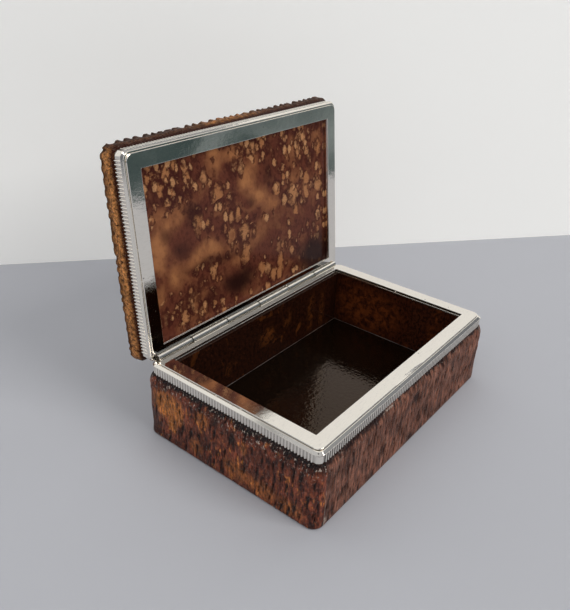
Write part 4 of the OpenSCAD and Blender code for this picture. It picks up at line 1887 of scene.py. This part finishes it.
@dataclass
class WeldSpots:
    """Small weld spots between the plates and the bands."""

    sizes: BoxSizes
    ledge_top: float
    plate_low: float
    dot_d: float = 1.2
    pitch: float = 12.5
    spread: float = 1.3
    proud: float = 0.1
    bead_segments: int = 16
    bead_rings: int = 8

    def tree(self) -> NodeBuild:
        """Builds the tree that sets a squeezed bead of its own height at each point.

        Returns:
            The tree, ready to run.
        """
        build = NodeBuild("weld_beads", {"Bead Diameter": "NodeSocketFloat"})
        s, inside = build.sketch, build.inside
        bead = s.node("GeometryNodeMeshUVSphere", {"Segments": self.bead_segments, "Rings": self.bead_rings,
                                                   "Radius": 0.5})
        size = s.node("ShaderNodeCombineXYZ", {0: inside["Bead Diameter"], 1: inside["Bead Diameter"],
                                               2: build.value("rise")})
        set_down = s.node("GeometryNodeInstanceOnPoints", {
            "Points": inside["Geometry"], "Instance": bead.outputs[0], "Scale": size.outputs[0]})
        build.close([set_down.outputs[0]])
        return build

    def build(self, finish: bpy.types.Material) -> None:
        """Builds and hands over the spots of base and lid.

        Args:
            finish: Material of the pieces.
        """
        z = self.sizes
        half, front, back = z.opening
        middle = (front + back) / 2
        outer, inner = z.plate_half_w - self.dot_d / 2 + self.proud, half + self.dot_d / 2
        spots, rises = [], []
        for side in (-1, 1):
            for x, y, low in ((outer, -self.pitch / 2, self.ledge_top),
                              (outer, self.pitch / 2, self.ledge_top), (inner, 0.0, z.web_z)):
                spots.append((side * x, middle + y, (low + self.plate_low) / 2))
                rises.append(self.spread * (self.plate_low - low))
        build = self.tree()
        for body, node, place in ((Body.BASE, "base_weld_spots", None),
                                  (Body.LID, "lid_weld_spots", z.on_lid())):
            draft = MeshDraft()
            draft.add(np.array(spots), rise=np.array(rises))
            piece = build.run(draft, node, {"Finish": finish, "Bead Diameter": self.dot_d}, place)
            hand_over(piece, body, Slot.FRAME, node)


@dataclass
class Hinge:
    """Two leaves rolled into knuckles, and the pin through them."""

    sizes: BoxSizes
    roll_deg: float = 285.0
    roll_steps: int = 40
    open_gap: float = 0.5
    tab_lap: float = 0.3

    def roll(self) -> list[Point]:
        """Draws the section of a rolled knuckle with its tab.

        Returns:
            Its corners, as depth and height from the axis.
        """
        z = self.sizes
        outer = z.knuckle_r
        inner = outer - z.leaf_t
        tab = z.slot_back - z.axis_y - self.tab_lap
        angles = np.radians(np.linspace(-90, -90 + self.roll_deg, self.roll_steps))
        section = [(tab, -outer)]
        section += [(outer * math.cos(a), outer * math.sin(a)) for a in angles]
        section += [(inner * math.cos(a), inner * math.sin(a)) for a in angles[::-1]]
        return section + [(tab, -inner)]

    def tree(self) -> NodeBuild:
        """Builds the tree that sets a rolled knuckle of its own length at each point.

        Returns:
            The tree, ready to run.
        """
        build = NodeBuild("rolled_knuckles", {"Knuckle": "NodeSocketObject"})
        s, inside = build.sketch, build.inside
        knuckle = s.node("GeometryNodeObjectInfo", {"Object": inside["Knuckle"]}, transform_space="ORIGINAL")
        span = build.value("span")
        size = s.node("ShaderNodeCombineXYZ", {0: span, 1: 1.0, 2: 1.0})
        alone = s.node("GeometryNodeSeparateGeometry", {"Geometry": inside["Geometry"],
                                                        "Selection": build.over(span, 0.0)})
        set_down = s.node("GeometryNodeInstanceOnPoints", {
            "Points": alone.outputs["Selection"], "Instance": knuckle.outputs["Geometry"],
            "Scale": size.outputs[0]})
        build.close([alone.outputs["Inverted"], set_down.outputs[0]])
        return build

    def knuckle(self) -> bpy.types.Object:
        """Makes the knuckle that the tree copies, one millimetre long.

        Returns:
            The object, which is removed after use.
        """
        draft = MeshDraft()
        section = self.roll()
        ends = [draft.add(np.array([(x, y, h) for y, h in section])) for x in (-0.5, 0.5)]
        draft.strip(ends[0], ends[1], closed=True)
        n = len(section)
        half = n // 2
        for end, turn in ((ends[0], 1), (ends[1], -1)):
            for i in range(half - 1):
                corners = (end[i], end[n - 1 - i], end[n - 2 - i], end[i + 1])
                draft.face(corners[::-turn])
        return put_in_scene("knuckle", draft.mesh("knuckle"))

    def leaf(self, owned: Sequence[int]) -> MeshDraft:
        """Draws the flat of a leaf and the middles of its knuckles.

        Args:
            owned: Numbers of the leaf's own knuckles.

        Returns:
            The mesh that the tree starts from.
        """
        z = self.sizes
        edges = z.knuckle_edges
        front = z.opening[2] + z.leaf_setback
        low = z.axis_z - z.knuckle_r
        draft = MeshDraft()
        box = [(x, y, h) for h in (low, low + z.leaf_t) for x, y in (
            (edges[0], front), (edges[-1], front), (edges[-1], z.slot_back), (edges[0], z.slot_back))]
        draft.add(np.array(box), span=np.zeros(len(box)))
        for corners in ((3, 2, 1, 0), (4, 5, 6, 7), (0, 1, 5, 4), (1, 2, 6, 5), (2, 3, 7, 6), (3, 0, 4, 7)):
            draft.face(corners)
        middles = [((edges[i] + edges[i + 1]) / 2, z.axis_y, z.axis_z) for i in owned]
        spans = [edges[i + 1] - edges[i] - z.knuckle_gap - self.open_gap for i in owned]
        draft.add(np.array(middles), span=np.array(spans))
        return draft

    def build(self, finish: bpy.types.Material, steel: bpy.types.Material) -> None:
        """Builds and hands over both leaves and dresses the pin.

        Args:
            finish: Material of the leaves.
            steel: Material of the pin.
        """
        z = self.sizes
        build = self.tree()
        knuckle = self.knuckle()
        rows = ((Body.BASE, "base_hinge_leaf", z.base_knuckles, None),
                (Body.LID, "lid_hinge_leaf", z.lid_knuckles, z.on_lid()))
        for body, node, owned, place in rows:
            piece = build.run(self.leaf(owned), node, {"Finish": finish, "Knuckle": knuckle}, place)
            hand_over(piece, body, Slot.HINGE, node)
        mesh = knuckle.data
        bpy.data.objects.remove(knuckle)
        bpy.data.meshes.remove(mesh)
        pin = frame["nodes"]["hinge_pin"]
        pin.data.materials.clear()
        pin.data.materials.append(steel)
        log.info("hinge_pin: CAD shape kept, new steel finish")


# Studio


@dataclass(frozen=True)
class Lamp:
    """Soft square lamp that faces the box, in millimetres and watts."""

    name: str
    place: tuple[float, float, float]
    size: float
    watts: float
    colour: Colour
    aim_h: float = 40.0

    def hang(self) -> None:
        """Hangs the lamp."""
        data = bpy.data.lights.new(self.name, "AREA")
        data.size, data.energy, data.color = self.size * MM, self.watts, self.colour
        lamp = put_in_scene(self.name, data)
        spot = Vector(self.place) * MM
        lamp.location = spot
        lamp.rotation_euler = (Vector((0.0, 0.0, self.aim_h * MM)) - spot).to_track_quat("-Z", "Y").to_euler()


@dataclass
class Studio:
    """Camera at the photographed angle, pale stage and soft light."""

    eye: tuple[float, float, float] = (-212.4, -135.7, 186.0)
    right: tuple[float, float, float] = (0.6222, -0.7818, 0.0417)
    up: tuple[float, float, float] = (0.3508, 0.3260, 0.8779)
    focal_px: float = 661.6
    long_side_px: float = 610.0
    sensor_mm: float = 36.0
    clip_m: Point = (0.01, 50.0)
    floor_half: float = 4000.0
    floor_drop: float = 0.05
    backdrop_foot: Point = (123.0, 122.0)
    backdrop_run: Point = (0.779, -0.627)
    backdrop_reach: float = 450.0
    card_foot: Point = (330.0, -330.0)
    card_half: float = 520.0
    card_h: float = 135.0
    floor: StageFinish = StageFinish("pale_floor", (0.50, 0.505, 0.535))
    backdrop: StageFinish = StageFinish("pale_backdrop", (0.96, 0.95, 0.915), see_through=True, glow=0.10)
    card: StageFinish = StageFinish("dark_card", (0.07, 0.105, 0.105), mottle=(0.30, 0.35, 0.355))
    bright_way: tuple[float, float, float] = (0.0, 0.2, 0.98)
    bright: Colour = (0.52, 0.53, 0.55)
    dim: Colour = (0.15, 0.16, 0.18)
    lamps: tuple[Lamp, ...] = (
        Lamp("window_right", (300.0, -1950.0, 1500.0), 1300.0, 29.0, (1.0, 0.985, 0.96)),
        Lamp("window_left", (-1500.0, -300.0, 1100.0), 1800.0, 9.0, (0.98, 0.99, 1.0)))

    def camera(self) -> None:
        """Sets up the camera."""
        data = bpy.data.cameras.new("camera")
        data.sensor_width = self.sensor_mm
        data.lens = self.focal_px / self.long_side_px * self.sensor_mm
        data.clip_start, data.clip_end = self.clip_m
        camera = put_in_scene("camera", data)
        right, up = Vector(self.right).normalized(), Vector(self.up).normalized()
        turn = Matrix((right, up, right.cross(up))).transposed().to_4x4()
        camera.matrix_world = Matrix.Translation(Vector(self.eye) * MM) @ turn
        bpy.context.scene.camera = camera

    def stage(self) -> None:
        """Lays the floor and stands the backdrop, and a low dark card that is seen in mirrorings alone."""
        h, low = self.floor_half, -self.floor_drop
        foot, run = np.array(self.backdrop_foot), np.array(self.backdrop_run)
        a, b = foot - run * h, foot + run * self.backdrop_reach
        middle = np.array(self.card_foot)
        across = self.card_half * np.array((-middle[1], middle[0])) / np.linalg.norm(middle)
        c, d = middle + across, middle - across
        for name, finish, corners in (
                ("floor", self.floor, [(-h, -h, low), (h, -h, low), (h, h, low), (-h, h, low)]),
                ("backdrop", self.backdrop, [(*a, low), (*b, low), (*b, h), (*a, h)]),
                ("card", self.card, [(*c, low), (*d, low), (*d, self.card_h), (*c, self.card_h)])):
            draft = MeshDraft()
            draft.add(np.array(corners))
            draft.face((0, 1, 2, 3))
            piece = draft.build(name, [finish.material()])
            if finish is self.card:
                piece.visible_camera = piece.visible_diffuse = piece.visible_shadow = False

    def light(self) -> None:
        """Lights the stage softly from all round, and from two wide windows, the left one weaker."""
        world = bpy.data.worlds.new("studio")
        world.use_nodes = True
        bpy.context.scene.world = world
        s = Sketch(world.node_tree)
        way = s.node("ShaderNodeTexCoord").outputs["Generated"]
        side = s.node("ShaderNodeVectorMath", {0: way, 1: self.bright_way}, operation="DOT_PRODUCT")
        glow = s.mix(s.spread(side.outputs["Value"], 0.2, 1.0), rgba(self.dim), rgba(self.bright))
        seen = s.node("ShaderNodeLightPath").outputs["Is Camera Ray"]
        background = world.node_tree.nodes["Background"]
        s.feed(background.inputs["Color"], s.mix(seen, glow, rgba(self.backdrop.colour)))
        for lamp in self.lamps:
            lamp.hang()

    def build(self) -> None:
        """Builds the studio."""
        bpy.context.scene.view_settings.view_transform = "Standard"
        self.camera()
        self.stage()
        self.light()


def main() -> None:
    """Builds the box piece by piece."""
    logging.basicConfig(level=logging.INFO, format="%(name)s: %(message)s")
    sizes = BoxSizes.from_frame()
    Studio().build()
    StoneWalls(sizes).build()
    FloorSlab(sizes).build()
    LidStone(sizes).build()
    chrome = PlatedFinish("plated_frame").material()
    polished = PlatedFinish("polished_plate", polish=0.03, worn=0.10).material()
    rolled = PlatedFinish("plated_hinge", worn=0.2).material()
    steel = PlatedFinish("pin_steel", bright=(0.42, 0.41, 0.39), dull=(0.3, 0.29, 0.27), polish=0.2,
                         worn=0.35).material()
    band, plates = ReededBand(sizes), RimPlates(sizes)
    band.build(chrome)
    plates.build(polished)
    WeldSpots(sizes, band.ledge_top, plates.low).build(chrome)
    Hinge(sizes).build(rolled, steel)


if __name__ == "__main__":
    main()
